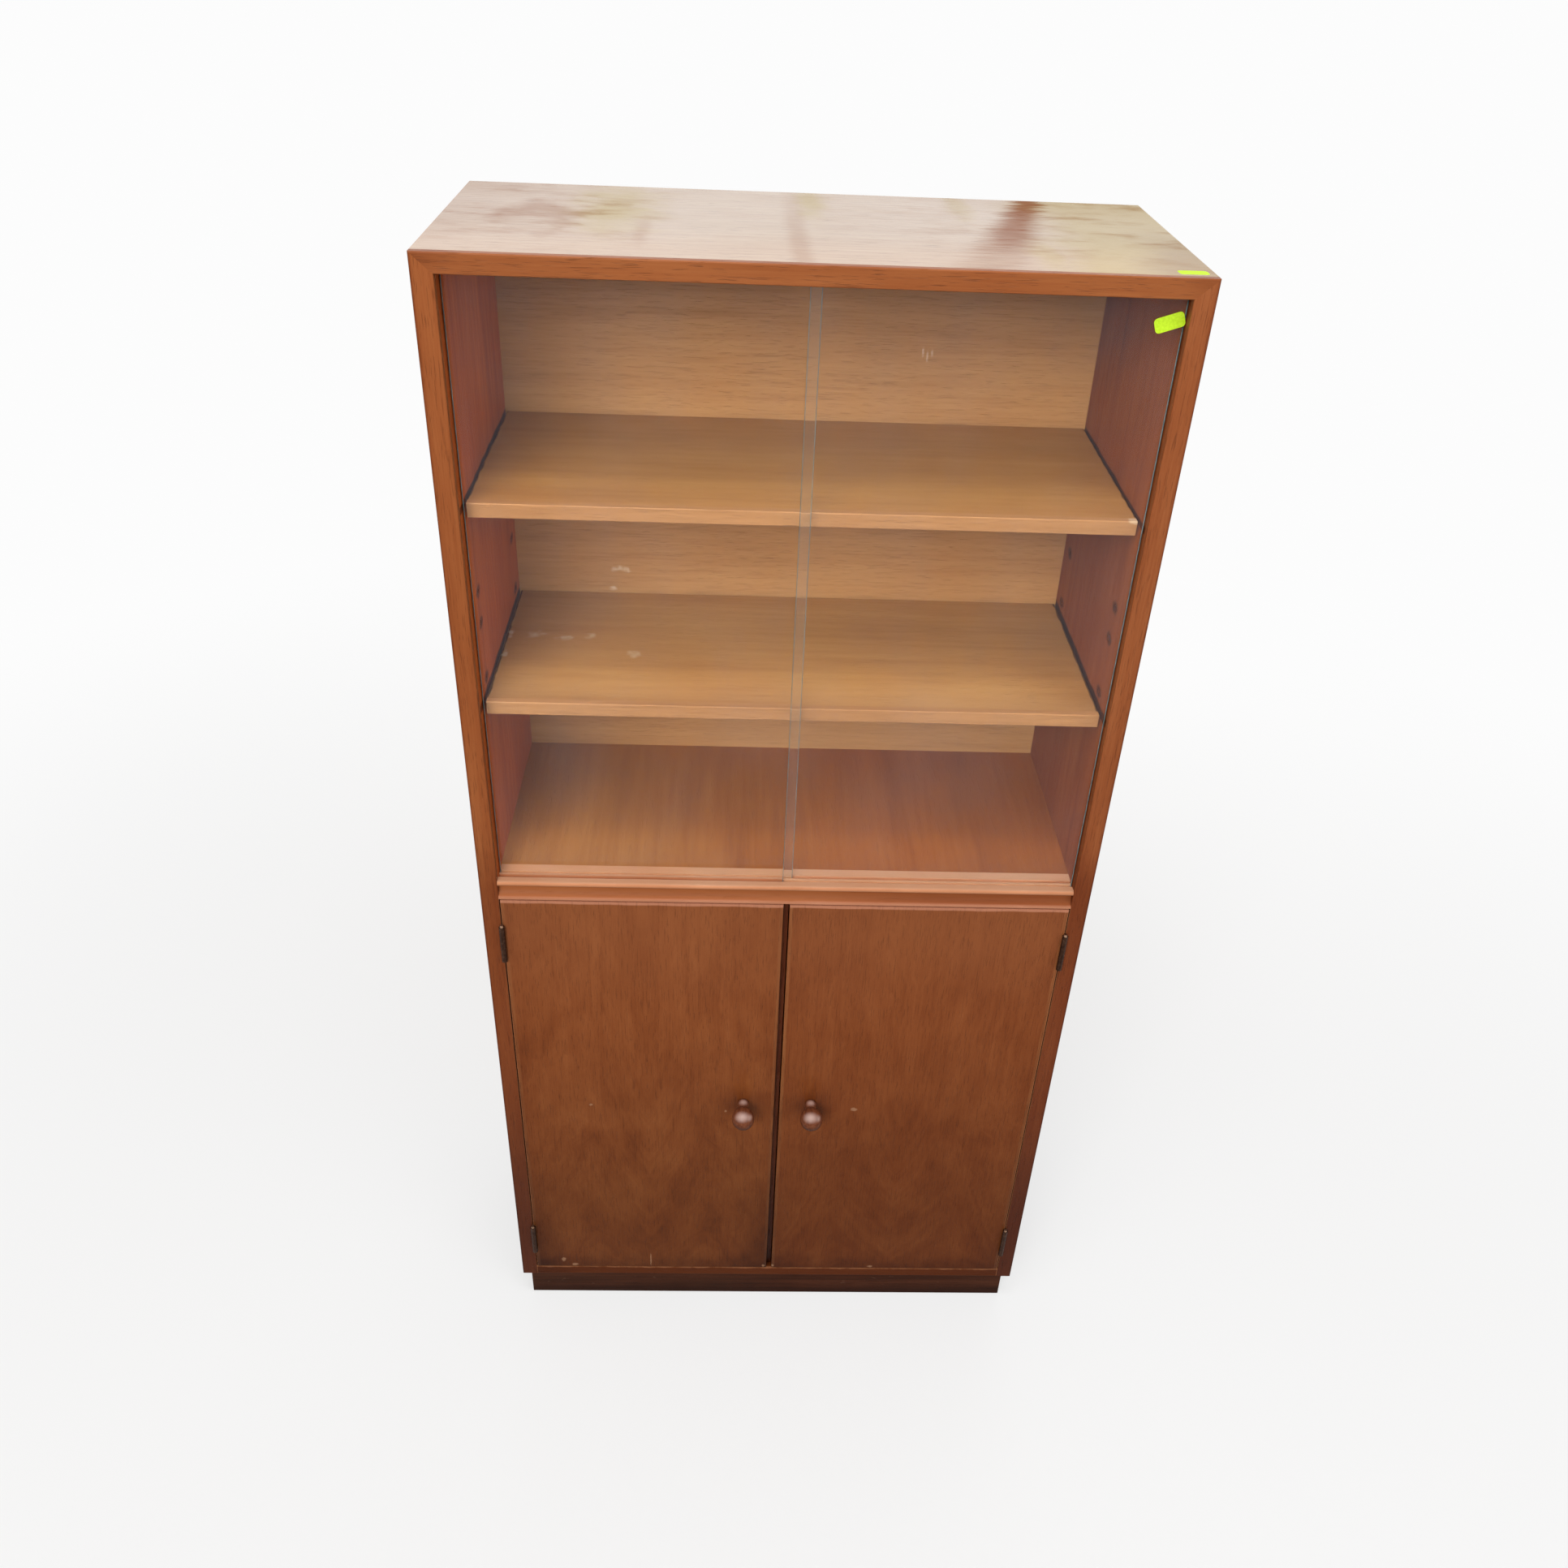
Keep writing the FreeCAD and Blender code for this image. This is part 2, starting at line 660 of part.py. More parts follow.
def make_plinth():
    front = board("plinth_front", (f"-{PLINTH_HALF}", "Size.plinthFrontInset", "0"),
                  (PLINTH_HALF, PLINTH_INNER_FRONT, "Size.plinthHeight"))
    back = board("plinth_back", (f"-{PLINTH_HALF}", PLINTH_INNER_BACK, "0"),
                 (PLINTH_HALF, PLINTH_BACK, "Size.plinthHeight"))
    as_node(front, "plinth_front")
    as_node(back, "plinth_back")
    for side, hand in HANDS.items():
        low, high = mirrored(hand, PLINTH_INNER_HALF, PLINTH_HALF)
        end = board("plinth_" + side, (low, PLINTH_INNER_FRONT, "0"),
                    (high, PLINTH_INNER_BACK, "Size.plinthHeight"))
        as_node(end, "plinth_" + side)
    foot = "(Size.plinthHeight - Size.plinthBlockHeight)"
    blocks = []
    screws = []
    for (low, near), (across, along) in zip(plinth_block_corners(), plinth_screw_spots()):
        blocks.append(board("Block", (low, near, foot),
                            (f"({low} + Size.plinthBlockWidth)", f"({near} + Size.plinthBlockWidth)",
                             "Size.plinthHeight")))
        screws.append(wood_screw((across, along, foot), (0, 0, 1), "plinthScrew",
                                 "Size.plinthBlockHeight + Size.plinthScrewBite"))
    group("plinth_blocks", blocks)
    group("plinth_screws", screws)


# ---------------------------------------------------------------- shelves


def make_shelf(name, shelf_top, front):
    foot = f"({shelf_top} - Size.shelfThickness)"
    joint = f"({front} + Size.lippingDepth)"
    as_node(board(name, (f"-{SHELF_HALF}", joint, foot), (SHELF_HALF, SHELF_BACK, shelf_top)), name)
    lipping = new_body(name + "_lipping")
    pad(lipping, "XZ", front, rectangle((f"-{SHELF_HALF}", foot), (SHELF_HALF, shelf_top)),
        "Size.lippingDepth")
    round_front_arris(lipping, front)
    pegs = []
    for hand in HANDS.values():
        inner_end = f"{hand} * ({INNER} - Size.pegReach)"
        for along, height in peg_rows([peg_height(shelf_top)], front):
            pegs.append(rod("Peg", (inner_end, along, height), "Size.pegRadius",
                            "Size.pegReach + Size.pegBite - Size.jointGap", turned=(hand, 0, 0)))
    group(name + "_pegs", pegs)


# ---------------------------------------------------------------- sliding glass


def make_glass_pane(label, hand, track):
    width = f"({INNER} + Size.glassOverlap / 2 - Size.glassEndGap)"
    start = f"({INNER} - Size.glassEndGap)"
    low, high = mirrored(hand, f"({start} - {width})", start)
    near = f"({track} + Size.trackClearance / 2)"
    pane = board(label, (low, near, f"({FLOOR_TOP} - Size.lowerTrackDepth + Size.glassRunGap)"),
                 (high, f"({near} + Size.glassThickness)", f"({TOP_UNDER} + Size.glassTopEntry)"))
    as_node(pane, label)


# ---------------------------------------------------------------- doors


def make_door(side, hand):
    outer = f"{hand} * {DOOR_OUTER}"
    inner = f"{hand} * {DOOR_INNER}"
    hinge_joint = f"{hand} * ({DOOR_OUTER} - Size.doorLippingWidth)"
    meeting_joint = f"{hand} * ({DOOR_INNER} + Size.doorLippingWidth)"
    panel = new_body(side + "_door_panel")
    pad(panel, "XZ", "0", rectangle((meeting_joint, DOOR_FOOT), (hinge_joint, DOOR_HEAD)),
        "Size.doorThickness")
    drill(panel, "XZ", "0", [(f"{hand} * Size.knobFromMiddle", KNOB_HEIGHT)],
          "Size.knobScrewRadius + Size.jointGap", "Size.doorThickness", toward=1)
    hinge_lipping = new_body(side + "_door_hinge_lipping")
    pad(hinge_lipping, "XZ", "0", rectangle((hinge_joint, DOOR_FOOT), (outer, DOOR_HEAD)),
        "Size.doorThickness")
    cut_hinge_gains(hinge_lipping, hand, DOOR_OUTER, -hand)
    meeting_lipping = new_body(side + "_door_meeting_lipping")
    pad(meeting_lipping, "XZ", "0", rectangle((inner, DOOR_FOOT), (meeting_joint, DOOR_HEAD)),
        "Size.doorThickness")
    edge = number(inner)
    round_edges(meeting_lipping, lambda a, b: both_at((a, b), "y", 0) and both_at((a, b), "x", edge),
                "Size.arrisRadius")
    if side == "left":
        # Its tongue closes the gap between the doors from behind, short of the right door.
        tongue_end = f"({DOOR_INNER} - Size.closingTongueGap)"
        pad(meeting_lipping, "XZ", "Size.closingTongueSet",
            rectangle((meeting_joint, DOOR_FOOT), (tongue_end, DOOR_HEAD)),
            "Size.doorThickness - Size.closingTongueSet")


def make_knob(side, hand):
    # A ball on a tapered neck, turned in one piece and held by a screw from behind the door.
    body = new_body(side + "_knob")
    bind(body, {"Placement.Base.x": f"{hand} * Size.knobFromMiddle", "Placement.Base.z": KNOB_HEIGHT})
    neck_end = ("(Size.knobReach - Size.knobRadius"
                " - sqrt(Size.knobRadius ^ 2 - Size.knobNeckRadius ^ 2))")
    corners = [
        ("-Size.knobReach", "0"),
        (f"-{neck_end}", "Size.knobNeckRadius"),
        ("-Size.knobBaseHeight", "Size.knobBaseRadius"),
        ("0", "Size.knobBaseRadius"),
        ("0", "0"),
    ]
    sketch = new_sketch(body, "YZ")
    draw_outline(sketch, corners, {0: ("Size.knobRadius", -1)})
    turned = body.newObject("PartDesign::Revolution", "Turning")
    turned.Profile = sketch
    turned.ReferenceAxis = (sketch, ["H_Axis"])
    turned.Angle = 360.0
    screw_top = (f"{hand} * Size.knobFromMiddle", "Size.doorThickness", KNOB_HEIGHT)
    shank = rod("Shank", screw_top, "Size.knobScrewRadius", "Size.doorThickness + Size.knobScrewBite",
                turned=(0, -1, 0), sides=SHANK_SIDES)
    head = rod("Head", screw_top, "Size.knobScrewHeadRadius", "Size.knobScrewHeadHeight",
               turned=(0, 1, 0), tip="Size.knobScrewTopRadius")
    as_node(fused(side + "_knob_screw", [shank, head]), side + "_knob_screw")


# ---------------------------------------------------------------- butt hinges


KNUCKLE_LENGTH = f"((Size.hingeLength - {KNUCKLES - 1} * Size.hingeKnuckleGap) / {KNUCKLES})"


def make_hinge_leaf(hand, foot, way, first):
    # One leaf with its knuckles.  way is +1 for the leaf on the frame, -1 for the one on the
    # door; first is the number of its lowest knuckle, and every second one belongs to it.
    axis = f"{hand} * {HINGE_X}"
    facing = hand * way
    low, high = mirrored(facing, LEAF_NEAR, LEAF_FAR)
    head = f"({foot} + Size.hingeLength)"
    pieces = [board("Plate", (f"({axis} + {low})", "0", foot),
                    (f"({axis} + {high})", "Size.hingeLeafWidth", head))]
    for knuckle in range(first, KNUCKLES, 2):
        start = f"({foot} + {knuckle} * ({KNUCKLE_LENGTH} + Size.hingeKnuckleGap))"
        pieces.append(rod("Knuckle", (axis, HINGE_Y, start), "Size.hingeKnuckleRadius",
                          KNUCKLE_LENGTH))
        pieces.append(board("Web", (f"({axis} + {low})", HINGE_Y, start),
                            (f"({axis} + {high})", "0", f"({start} + {KNUCKLE_LENGTH})")))
    tools = [rod("PinBore", (axis, HINGE_Y, foot), "Size.hingePinRadius + Size.hingePinRunning",
                 "Size.hingeLength")]
    for along, height in leaf_screw_spots(foot):
        start = (f"({axis} + {facing} * {LEAF_NEAR})", along, height)
        tools.append(rod("Countersink", start, "Size.hingeScrewHeadRadius + Size.jointGap",
                         "Size.hingeScrewHeadHeight", turned=(facing, 0, 0),
                         tip="Size.hingeScrewRadius + Size.jointGap"))
        tools.append(rod("ScrewHole", start, "Size.hingeScrewRadius + Size.jointGap",
                         "Size.hingeLeafThickness", turned=(facing, 0, 0), sides=SHANK_SIDES))
    return less("Leaf", fused("LeafBlank", pieces), tools)


def make_hinge_screws(label, hand, way):
    facing = hand * way
    start = f"({hand} * {HINGE_X} + {facing} * {LEAF_NEAR})"
    screws = []
    for along, height in HINGE_SCREW_SPOTS:
        screws.append(wood_screw((start, along, height), (facing, 0, 0), "hingeScrew",
                                 "Size.hingeScrewLength"))
    group(label, screws)


def make_hinges(side, hand):
    group(side + "_hinge_frame_leaves", [make_hinge_leaf(hand, foot, 1, 0) for foot in HINGE_FEET])
    group(side + "_hinge_door_leaves", [make_hinge_leaf(hand, foot, -1, 1) for foot in HINGE_FEET])
    pins = []
    for foot in HINGE_FEET:
        axis = (f"{hand} * {HINGE_X}", HINGE_Y)
        stem = rod("Stem", (*axis, foot), "Size.hingePinRadius", "Size.hingeLength")
        cap = rod("Cap", (*axis, f"({foot} + Size.hingeLength)"), "Size.hingePinHeadRadius",
                  "Size.hingePinHeadHeight", tip="Size.hingePinTipRadius")
        pins.append(fused("HingePin", [stem, cap]))
    group(side + "_hinge_pins", pins)
    make_hinge_screws(side + "_hinge_frame_screws", hand, 1)
    make_hinge_screws(side + "_hinge_door_screws", hand, -1)


# ---------------------------------------------------------------- catches


def spread(middle, width):
    # Both ends of a width laid evenly about its middle.
    return f"({middle} - {width} / 2)", f"({middle} + {width} / 2)"


def make_catches():
    plate_back = "(Size.doorThickness + Size.catchPlateThickness)"
    front = f"({plate_back} + Size.catchGap)"
    housings = []
    for side, hand in HANDS.items():
        middle = f"{hand} * Size.catchFromMiddle"
        left, right = spread(middle, "Size.catchWidth")
        housings.append(board("Housing", (left, front, f"({RAIL_FOOT} - Size.catchHeight)"),
                              (right, f"({front} + Size.catchDepth)", RAIL_FOOT)))
        left, right = spread(middle, "Size.catchPlateWidth")
        low, high = spread(f"{RAIL_FOOT} - Size.catchHeight / 2", "Size.catchPlateHeight")
        plate = board(side + "_catch_plate", (left, "Size.doorThickness", low),
                      (right, plate_back, high))
        as_node(plate, side + "_catch_plate")
    group("door_catches", housings)


# ---------------------------------------------------------------- build, check, write


def build_all():
    fill_sheet()
    for side, hand in HANDS.items():
        make_side_panel(side, hand)
        make_side_lipping(side, hand)
        make_mitre_tongue(side, hand)
    make_top()
    make_bottom()
    make_cross_board("glazed_floor", RAIL_DEPTH, FLOOR_UNDER, FLOOR_TOP)
    make_front_rail()
    make_back()
    make_plinth()
    make_shelf("upper_shelf", UPPER_SHELF, SHELF_FRONT)
    make_shelf("lower_shelf", LOWER_SHELF, SHELF_FRONT)
    make_shelf("cupboard_shelf", CUPBOARD_SHELF, CUPBOARD_SHELF_FRONT)
    make_glass_pane("left_glass_pane", HANDS["left"], REAR_TRACK)
    make_glass_pane("right_glass_pane", HANDS["right"], FRONT_TRACK)
    for side, hand in HANDS.items():
        make_door(side, hand)
        make_knob(side, hand)
        make_hinges(side, hand)
    make_catches()
    doc.recompute()


def check_all():
    for thing in doc.Objects:
        if "Invalid" in thing.State or "Error" in thing.State:
            raise RuntimeError(f"{thing.Label} ({thing.Name}) is {thing.State}")
        if thing.TypeId == "PartDesign::Pocket":
            if thing.Shape.Volume > thing.BaseFeature.Shape.Volume - LEAST_CUT:
                raise RuntimeError(f"{thing.Name} in {thing.getParent().Label} cuts nothing")
    for node in nodes:
        if node.Shape.isNull() or not node.Shape.isValid() or not node.Shape.Solids:
            raise RuntimeError(f"{node.Label} has no valid shape")


def write_all():
    os.makedirs("parts", exist_ok=True)
    for node in nodes:
        node.Shape.exportStep(f"parts/{node.Label}.step")
    print(len(nodes), "nodes written")


build_all()
check_all()
write_all()
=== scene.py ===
import math

import bpy
from mathutils import Matrix, Vector


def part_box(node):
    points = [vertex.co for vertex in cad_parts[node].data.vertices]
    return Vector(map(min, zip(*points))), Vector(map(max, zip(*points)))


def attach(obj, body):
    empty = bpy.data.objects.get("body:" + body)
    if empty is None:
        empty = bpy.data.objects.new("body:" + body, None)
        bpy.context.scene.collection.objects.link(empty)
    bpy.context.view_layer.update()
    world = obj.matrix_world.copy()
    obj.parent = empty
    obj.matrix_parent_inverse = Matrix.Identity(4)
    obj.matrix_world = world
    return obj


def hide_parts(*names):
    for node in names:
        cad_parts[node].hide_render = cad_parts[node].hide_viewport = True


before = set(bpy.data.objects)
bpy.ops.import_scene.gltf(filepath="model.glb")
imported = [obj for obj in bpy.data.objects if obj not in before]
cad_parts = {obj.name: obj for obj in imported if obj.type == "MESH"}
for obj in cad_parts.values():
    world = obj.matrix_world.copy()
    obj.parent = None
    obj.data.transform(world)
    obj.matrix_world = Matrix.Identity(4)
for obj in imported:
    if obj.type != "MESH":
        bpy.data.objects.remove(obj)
scene = bpy.context.scene
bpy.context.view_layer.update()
print("frame loaded:", len(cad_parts), "nodes")

# Places on the case, in metres, that several finishes share
caseFront = -0.13
caseTop = 1.416
caseHalf = 0.343
sideFace = 0.323        # inner faces of the sides
backFace = 0.16         # front of the back panel
upperShelfTop = 1.184
lowerShelfTop = 0.966
doorCentre = 0.1625     # middle of each door, either side of the meeting line
doorHead = 0.723
knobHeight = 0.402
knobAcross = 0.0425


# Short cuts for the node trees

def home(*values):
    # the node tree that the linked values are in
    return next(value.id_data for value in values if isinstance(value, bpy.types.NodeSocket))


def feed(socket, value):
    # links a socket, and sets anything else as the plain value
    if isinstance(value, bpy.types.NodeSocket):
        socket.id_data.links.new(value, socket)
    elif socket.type == "RGBA" and len(value) == 3:
        socket.default_value = (*value, 1.0)
    else:
        socket.default_value = value


def add(kind, inputs, tree=None, **settings):
    # a new node's outputs; a node without links needs its tree
    node = (tree or home(*inputs.values())).nodes.new("ShaderNode" + kind)
    for name, setting in settings.items():
        setattr(node, name, setting)
    for name, value in inputs.items():
        feed(node.inputs[name], value)
    return node.outputs


def calc(operation, first, second=0.0, third=0.0):
    return add("Math", {0: first, 1: second, 2: third}, operation=operation)[0]


def times(first, second):
    return calc("MULTIPLY", first, second)


def less(first, second):
    return calc("SUBTRACT", first, second)


def most(first, second):
    return calc("MAXIMUM", first, second)


def plus(value, share, start):
    # a share of value on top of start
    return calc("MULTIPLY_ADD", value, share, start)


def sway(noise, share, start):
    # the same for noise, counted from its middle
    return plus(less(noise, 0.5), share, start)


def gap(value, middle=0.0):
    # distance from the middle, on either side
    return calc("ABSOLUTE", less(value, middle) if middle else value)


def vectorMath(operation, *values):
    return add("VectorMath", dict(enumerate(values)), operation=operation)


def mixColours(share, first, second, way="MIX"):
    return add("Mix", {0: share, 6: first, 7: second}, data_type="RGBA", blend_type=way)[2]


def darken(share, colour, tone):
    return mixColours(share, colour, tone, "MULTIPLY")


def mixShaders(share, first, second):
    return add("MixShader", {0: share, 1: first, 2: second})[0]


def slide(value, low, high, start=0.0, end=1.0):
    # eases from start to end while value goes from low to high
    inputs = dict(enumerate((value, low, high, start, end)))
    return add("MapRange", inputs, interpolation_type="SMOOTHSTEP")[0]


def stain(colour, value, low, high, share, tone, way="MULTIPLY"):
    # dyes the colour up to its share while value goes from low to high
    return mixColours(slide(value, low, high, 0, share), colour, tone, way)


def toneColours(tone, stops):
    # stops are (place, colour) pairs
    node = tone.id_data.nodes.new("ShaderNodeValToRGB")
    marks = node.color_ramp.elements
    while len(marks) < len(stops):
        marks.new(0.5)
    for mark, (place, colour) in zip(marks, stops):
        mark.position = place
        mark.color = (*colour, 1.0)
    feed(node.inputs[0], tone)
    return node.outputs[0]


def objectPlace(tree):
    return add("TexCoord", {}, tree)["Object"]


def mapped(place, scale=(1, 1, 1), shift=(0, 0, 0), turn=(0, 0, 0)):
    return add("Mapping", {"Vector": place, "Scale": scale, "Location": shift, "Rotation": turn})[0]


def axes(place):
    return add("SeparateXYZ", {0: place})


def point(x, y, z):
    return add("CombineXYZ", {0: x, 1: y, 2: z})[0]


def cloud(place, scale, detail=2.0, rough=0.5, output=0):
    # noise, with one scale, or one for each axis
    if isinstance(scale, tuple):
        place, scale = mapped(place, scale), 1
    return add("TexNoise", {"Vector": place, "Scale": scale, "Detail": detail, "Roughness": rough})[output]


def frayed(place, value, scale, share, detail=3, rough=0.5):
    # value with noise on it, so that what follows it has a ragged edge
    return plus(cloud(place, scale, detail, rough), share, value)


def patch(place, centre, size, soft=0.5, ragged=0.25):
    # 1 inside an ellipsoid of half-size size, 0 outside it, with a ragged rim
    shrink = [1 / side for side in size]
    moved = mapped(place, shrink, [-c * s for c, s in zip(centre, shrink)])
    rim = cloud(place, 0.9 / max(min(size), 0.001), 3)
    return slide(sway(rim, ragged * 4, vectorMath("LENGTH", moved)["Value"]), 1.0, 1.0 - soft)


def nearest(place, spots):
    # distance to the nearest of several spots
    shortest = None
    for spot in spots:
        far = vectorMath("DISTANCE", place, spot)["Value"]
        shortest = calc("MINIMUM", shortest, far) if shortest else far
    return shortest


def spotted(place, colour, spots, soft, ragged, tone):
    # spots are (centre, half-size, share)
    for centre, size, share in spots:
        colour = mixColours(times(patch(place, centre, size, soft, ragged), share), colour, tone)
    return colour


def newMaterial(name, **plain):
    # with its shader and the coordinates of its object
    material = bpy.data.materials.new(name)
    material.use_nodes = True
    shader = material.node_tree.nodes["Principled BSDF"]
    for socket, value in plain.items():
        feed(shader.inputs[socket.replace("_", " ")], value)
    return material, shader, objectPlace(material.node_tree)


def relief(shader, height, depth):
    bump = add("Bump", {"Strength": 1.0, "Distance": depth, "Height": height})
    feed(shader.inputs["Normal"], bump[0])


# Wood grain. Pairs of scales are across and along the grain.

woodScales = {
    "wobble": (6, 2), "stripes": (6, 0.25), "fibreLength": 45, "fibreRough": 0.65,
    "pores": (1300, 45), "poreRun": (0.6, 0.72), "blotches": (5, 2.5), "blotchRun": (0.42, 0.7),
    "blotchRough": 0.25, "poreRough": 0.12, "toneRelief": 0.35,
}
redWood = {
    "axis": "z", "wander": 0.012, "bands": 26, "stretch": 13, "rings": 3.0, "fibres": 620,
    "figure": (0.75, 0.07, 0.55, 0.4),      # shares of bands, rings, stripes and fibres
    "tones": [(0.12, 0.034, 0.01), (0.235, 0.068, 0.018), (0.33, 0.105, 0.028), (0.43, 0.165, 0.05)],
    "stops": (0.22, 0.45, 0.6, 0.82), "tint": (1.0, 1.0, 1.0), "poreShare": 0.55,
    "poreColour": (0.06, 0.016, 0.007),
    "blotchShare": 0.45, "blotchColour": (0.8, 0.66, 0.6),
    "rough": 0.36, "gloss": 0.1, "depth": 0.00025, "cut": (0, 0, 0),
}


def along(axis, across, lengthwise):
    scale = [across] * 3
    scale["xyz".index(axis)] = lengthwise
    return tuple(scale)


def grain(place, look):
    # tone of the figure from 0, dark, to 1, light, and the pores from 0 to 1
    axis, bands = look["axis"], look["bands"]
    bandShare, ringShare, stripeShare, fibreShare = look["figure"]
    across, lengthwise = woodScales["stripes"]
    wobble = cloud(place, along(axis, *woodScales["wobble"]), 2, output="Color")
    bent = vectorMath("MULTIPLY_ADD", wobble, (look["wander"],) * 3, place)[0]
    wide = cloud(bent, along(axis, bands, bands / look["stretch"]), 3)
    contour = calc("SINE", times(wide, look["rings"] * math.tau))
    stripes = cloud(bent, along(axis, bands * across, bands * lengthwise), 4)
    fibres = cloud(bent, along(axis, look["fibres"], look["fibres"] / woodScales["fibreLength"]), 4,
                   woodScales["fibreRough"])
    tone = sway(wide, bandShare, 0.5)
    tone = plus(contour, ringShare, tone)
    tone = sway(stripes, stripeShare, tone)
    tone = sway(fibres, fibreShare, tone)
    dashes = cloud(bent, along(axis, *woodScales["pores"]), 2)
    return tone, slide(dashes, *woodScales["poreRun"])


def tinted(look):
    # the stops of the tone, with the tint on each colour
    return [(stop, tuple(c * t for c, t in zip(colour, look["tint"])))
            for stop, colour in zip(look["stops"], look["tones"])]


def woodFinish(name, look, wear=None, figure=grain, **plain):
    material, shader, place = newMaterial(name, Specular_IOR_Level=look["gloss"], **plain)
    moved = mapped(place, shift=look["cut"])
    tone, pores = figure(moved, look)
    colour = toneColours(tone, tinted(look))
    colour = mixColours(times(pores, look["poreShare"]), colour, look["poreColour"])
    blotch = cloud(moved, along(look["axis"], *woodScales["blotches"]), 3)
    colour = stain(colour, blotch, *woodScales["blotchRun"], look["blotchShare"], look["blotchColour"])
    rough = sway(blotch, woodScales["blotchRough"], look["rough"])
    rough = plus(pores, woodScales["poreRough"], rough)
    if wear:
        colour, rough = wear(place, colour, rough)
    feed(shader.inputs["Base Color"], colour)
    feed(shader.inputs["Roughness"], rough)
    relief(shader, less(times(tone, woodScales["toneRelief"]), pores), look["depth"])
    return material


def paint(name, material):
    # gives a CAD node its finish
    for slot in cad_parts[name].material_slots:
        slot.material = material


def paintAll(names, material):
    for name in names:
        paint(name, material)


# Case: sides, top and their lippings. A run is where a change begins and ends, then its two shares.
# What stain takes is where it begins and ends, its full share and its tone.

sideVeneer = {
    **redWood, "rough": 0.48, "gloss": 0.09, "figure": (0.4, 0.02, 0.26, 0.4), "poreShare": 0.3,
    "tones": [(0.155, 0.036, 0.011), (0.3, 0.072, 0.018), (0.39, 0.108, 0.028), (0.48, 0.155, 0.046)],
    # leftInside: painted light on the inner face of the left side
    "insideRun": (0.324, 0.3234), "leftRun": (-0.1, 0.1), "leftInside": (1.38, 1.2, 0.9),
}
topVeneer = {
    **redWood, "axis": "x", "cut": (0.3, 0.1, 0.0), "rings": 1.0, "figure": (0.45, 0.07, 0.35, 0.4),
    "rough": 0.34, "gloss": 0.03, "depth": 0.00008, "blotchShare": 0.3,
    "tones": [(0.255, 0.12, 0.055), (0.345, 0.205, 0.11), (0.4, 0.262, 0.148), (0.46, 0.325, 0.2)],
}
topAge = {
    "streaks": (14, 170, 1), "clouds": (6, 9, 1), "drift": 0.12,
    # golden polish at the right, and in spots of (centre, half-size, share)
    "golden": (0.405, 0.296, 0.112), "goldenRun": (0.175, 0.25, 0, 0.86), "spotRim": (0.9, 0.2),
    "spots": [((-0.186, 0.07), (0.066, 0.15), 0.88), ((0.002, 0.13), (0.024, 0.12), 0.75),
              ((0.15, 0.13), (0.02, 0.1), 0.55), ((0.208, -0.06), (0.028, 0.1), 0.65)],
    # the band that is rubbed down to red wood
    "rubbedRed": (0.235, 0.07, 0.028), "rubMiddle": 0.181, "rubLean": -0.28, "rubHalf": 0.03,
    "rubTaper": -0.07, "rubStreaks": 0.055, "rubEdge": (1.25, 0.15), "rubFray": 0.2,
    "rubRun": (-0.11, 0.01, 0.25, 0.76),
    # a narrow haze behind the middle
    "hazeMiddle": -0.015, "hazeLean": 0.02, "hazeStreaks": 0.012, "hazeEdge": (0.015, 0.002, 0, 0.24),
    "hazeRun": (0.16, -0.02, 0.45, 1.0),
    # a smear, and a ring round a hollow: centre, half-size, and soft and ragged rim
    "smear": ((-0.155, -0.022), (0.012, 0.085), 0.9, 0.25), "smearShare": 0.2,
    "oval": ((-0.256, 0.014), (0.05, 0.094), 0.45, 0.22), "ringShare": 0.34,
    "hollow": ((-0.262, -0.014), (0.044, 0.066), 0.7, 0.22), "hollowShare": 0.8,
    # dirt at the left end, and smudges away from the middle
    "endRun": (-0.18, -0.32, 0, 0.2), "endDepth": (-0.1, 0.03, 0.1, 1.0),
    "smudges": (16, 40, 1), "smudgeShift": (3, 0, 0), "smudgeRun": (0.46, 0.74, 0, 0.34),
    "smudgeMiddle": -0.02, "smudgeSide": (0.06, 0.2, 0.3, 1.0), "smudgeDepth": (-0.12, 0.02, 0.4, 1.0),
    "front": (0.02, -0.12, 1, (1.2, 1.15, 1.12)),
    "cornerRun": (0.27, 0.335), "cornerDepth": (0.09, -0.06, 0, 0.8), "cornerRed": (0.6, 0.48, 0.36),
    "thinRough": 0.25, "polish": 0.97, "cloudPolish": 0.4, "goldenPolish": -0.52, "thinPolish": -0.85,
    "backPolish": (0.07, 0.16, 0, -0.12),
}
caseLipping = {
    **redWood, "bands": 46, "fibres": 560, "rings": 1.0, "figure": (0.5, 0.0, 0.28, 0.3),
    "poreShare": 0.25, "rough": 0.34, "gloss": 0.08,
    "tones": [(0.225, 0.06, 0.016), (0.32, 0.094, 0.026), (0.372, 0.12, 0.035), (0.44, 0.16, 0.052)],
    # pale wood: worn on the foot's upper edge, and painted light on the faces in the door gaps
    "paleWood": (0.34, 0.14, 0.064),
}
caseAge = {
    "fray": (14, 0.1), "roughRun": (0.3, 0.09, 0, 0.1),
    # low: painted shade, darker towards the foot of the case
    "low": [(0.88, 0.78, 0.68, (0.46, 0.3, 0.22)), (0.58, 0.18, 0.88, (0.34, 0.27, 0.24))],
    "rim": (0.3395, 0.3428, 0.6, (0.4, 0.24, 0.2)),
    # painted light that makes the faces beside the doors pale
    "doorGap": 0.3229, "gapEdge": (0.0006, 0.0003), "gapRun": (0.735, 0.722, 0, 0.8),
}
footAge = {
    "fray": ((45, 1, 60), 0.006, 4, 0.6), "arrisRun": (0.0682, 0.0702, 0, 0.55), "frontRun": (-0.126, -0.1285),
    "leftEnd": (-0.25, -0.31, 0.45, (0.5, 0.5, 0.5)),
}
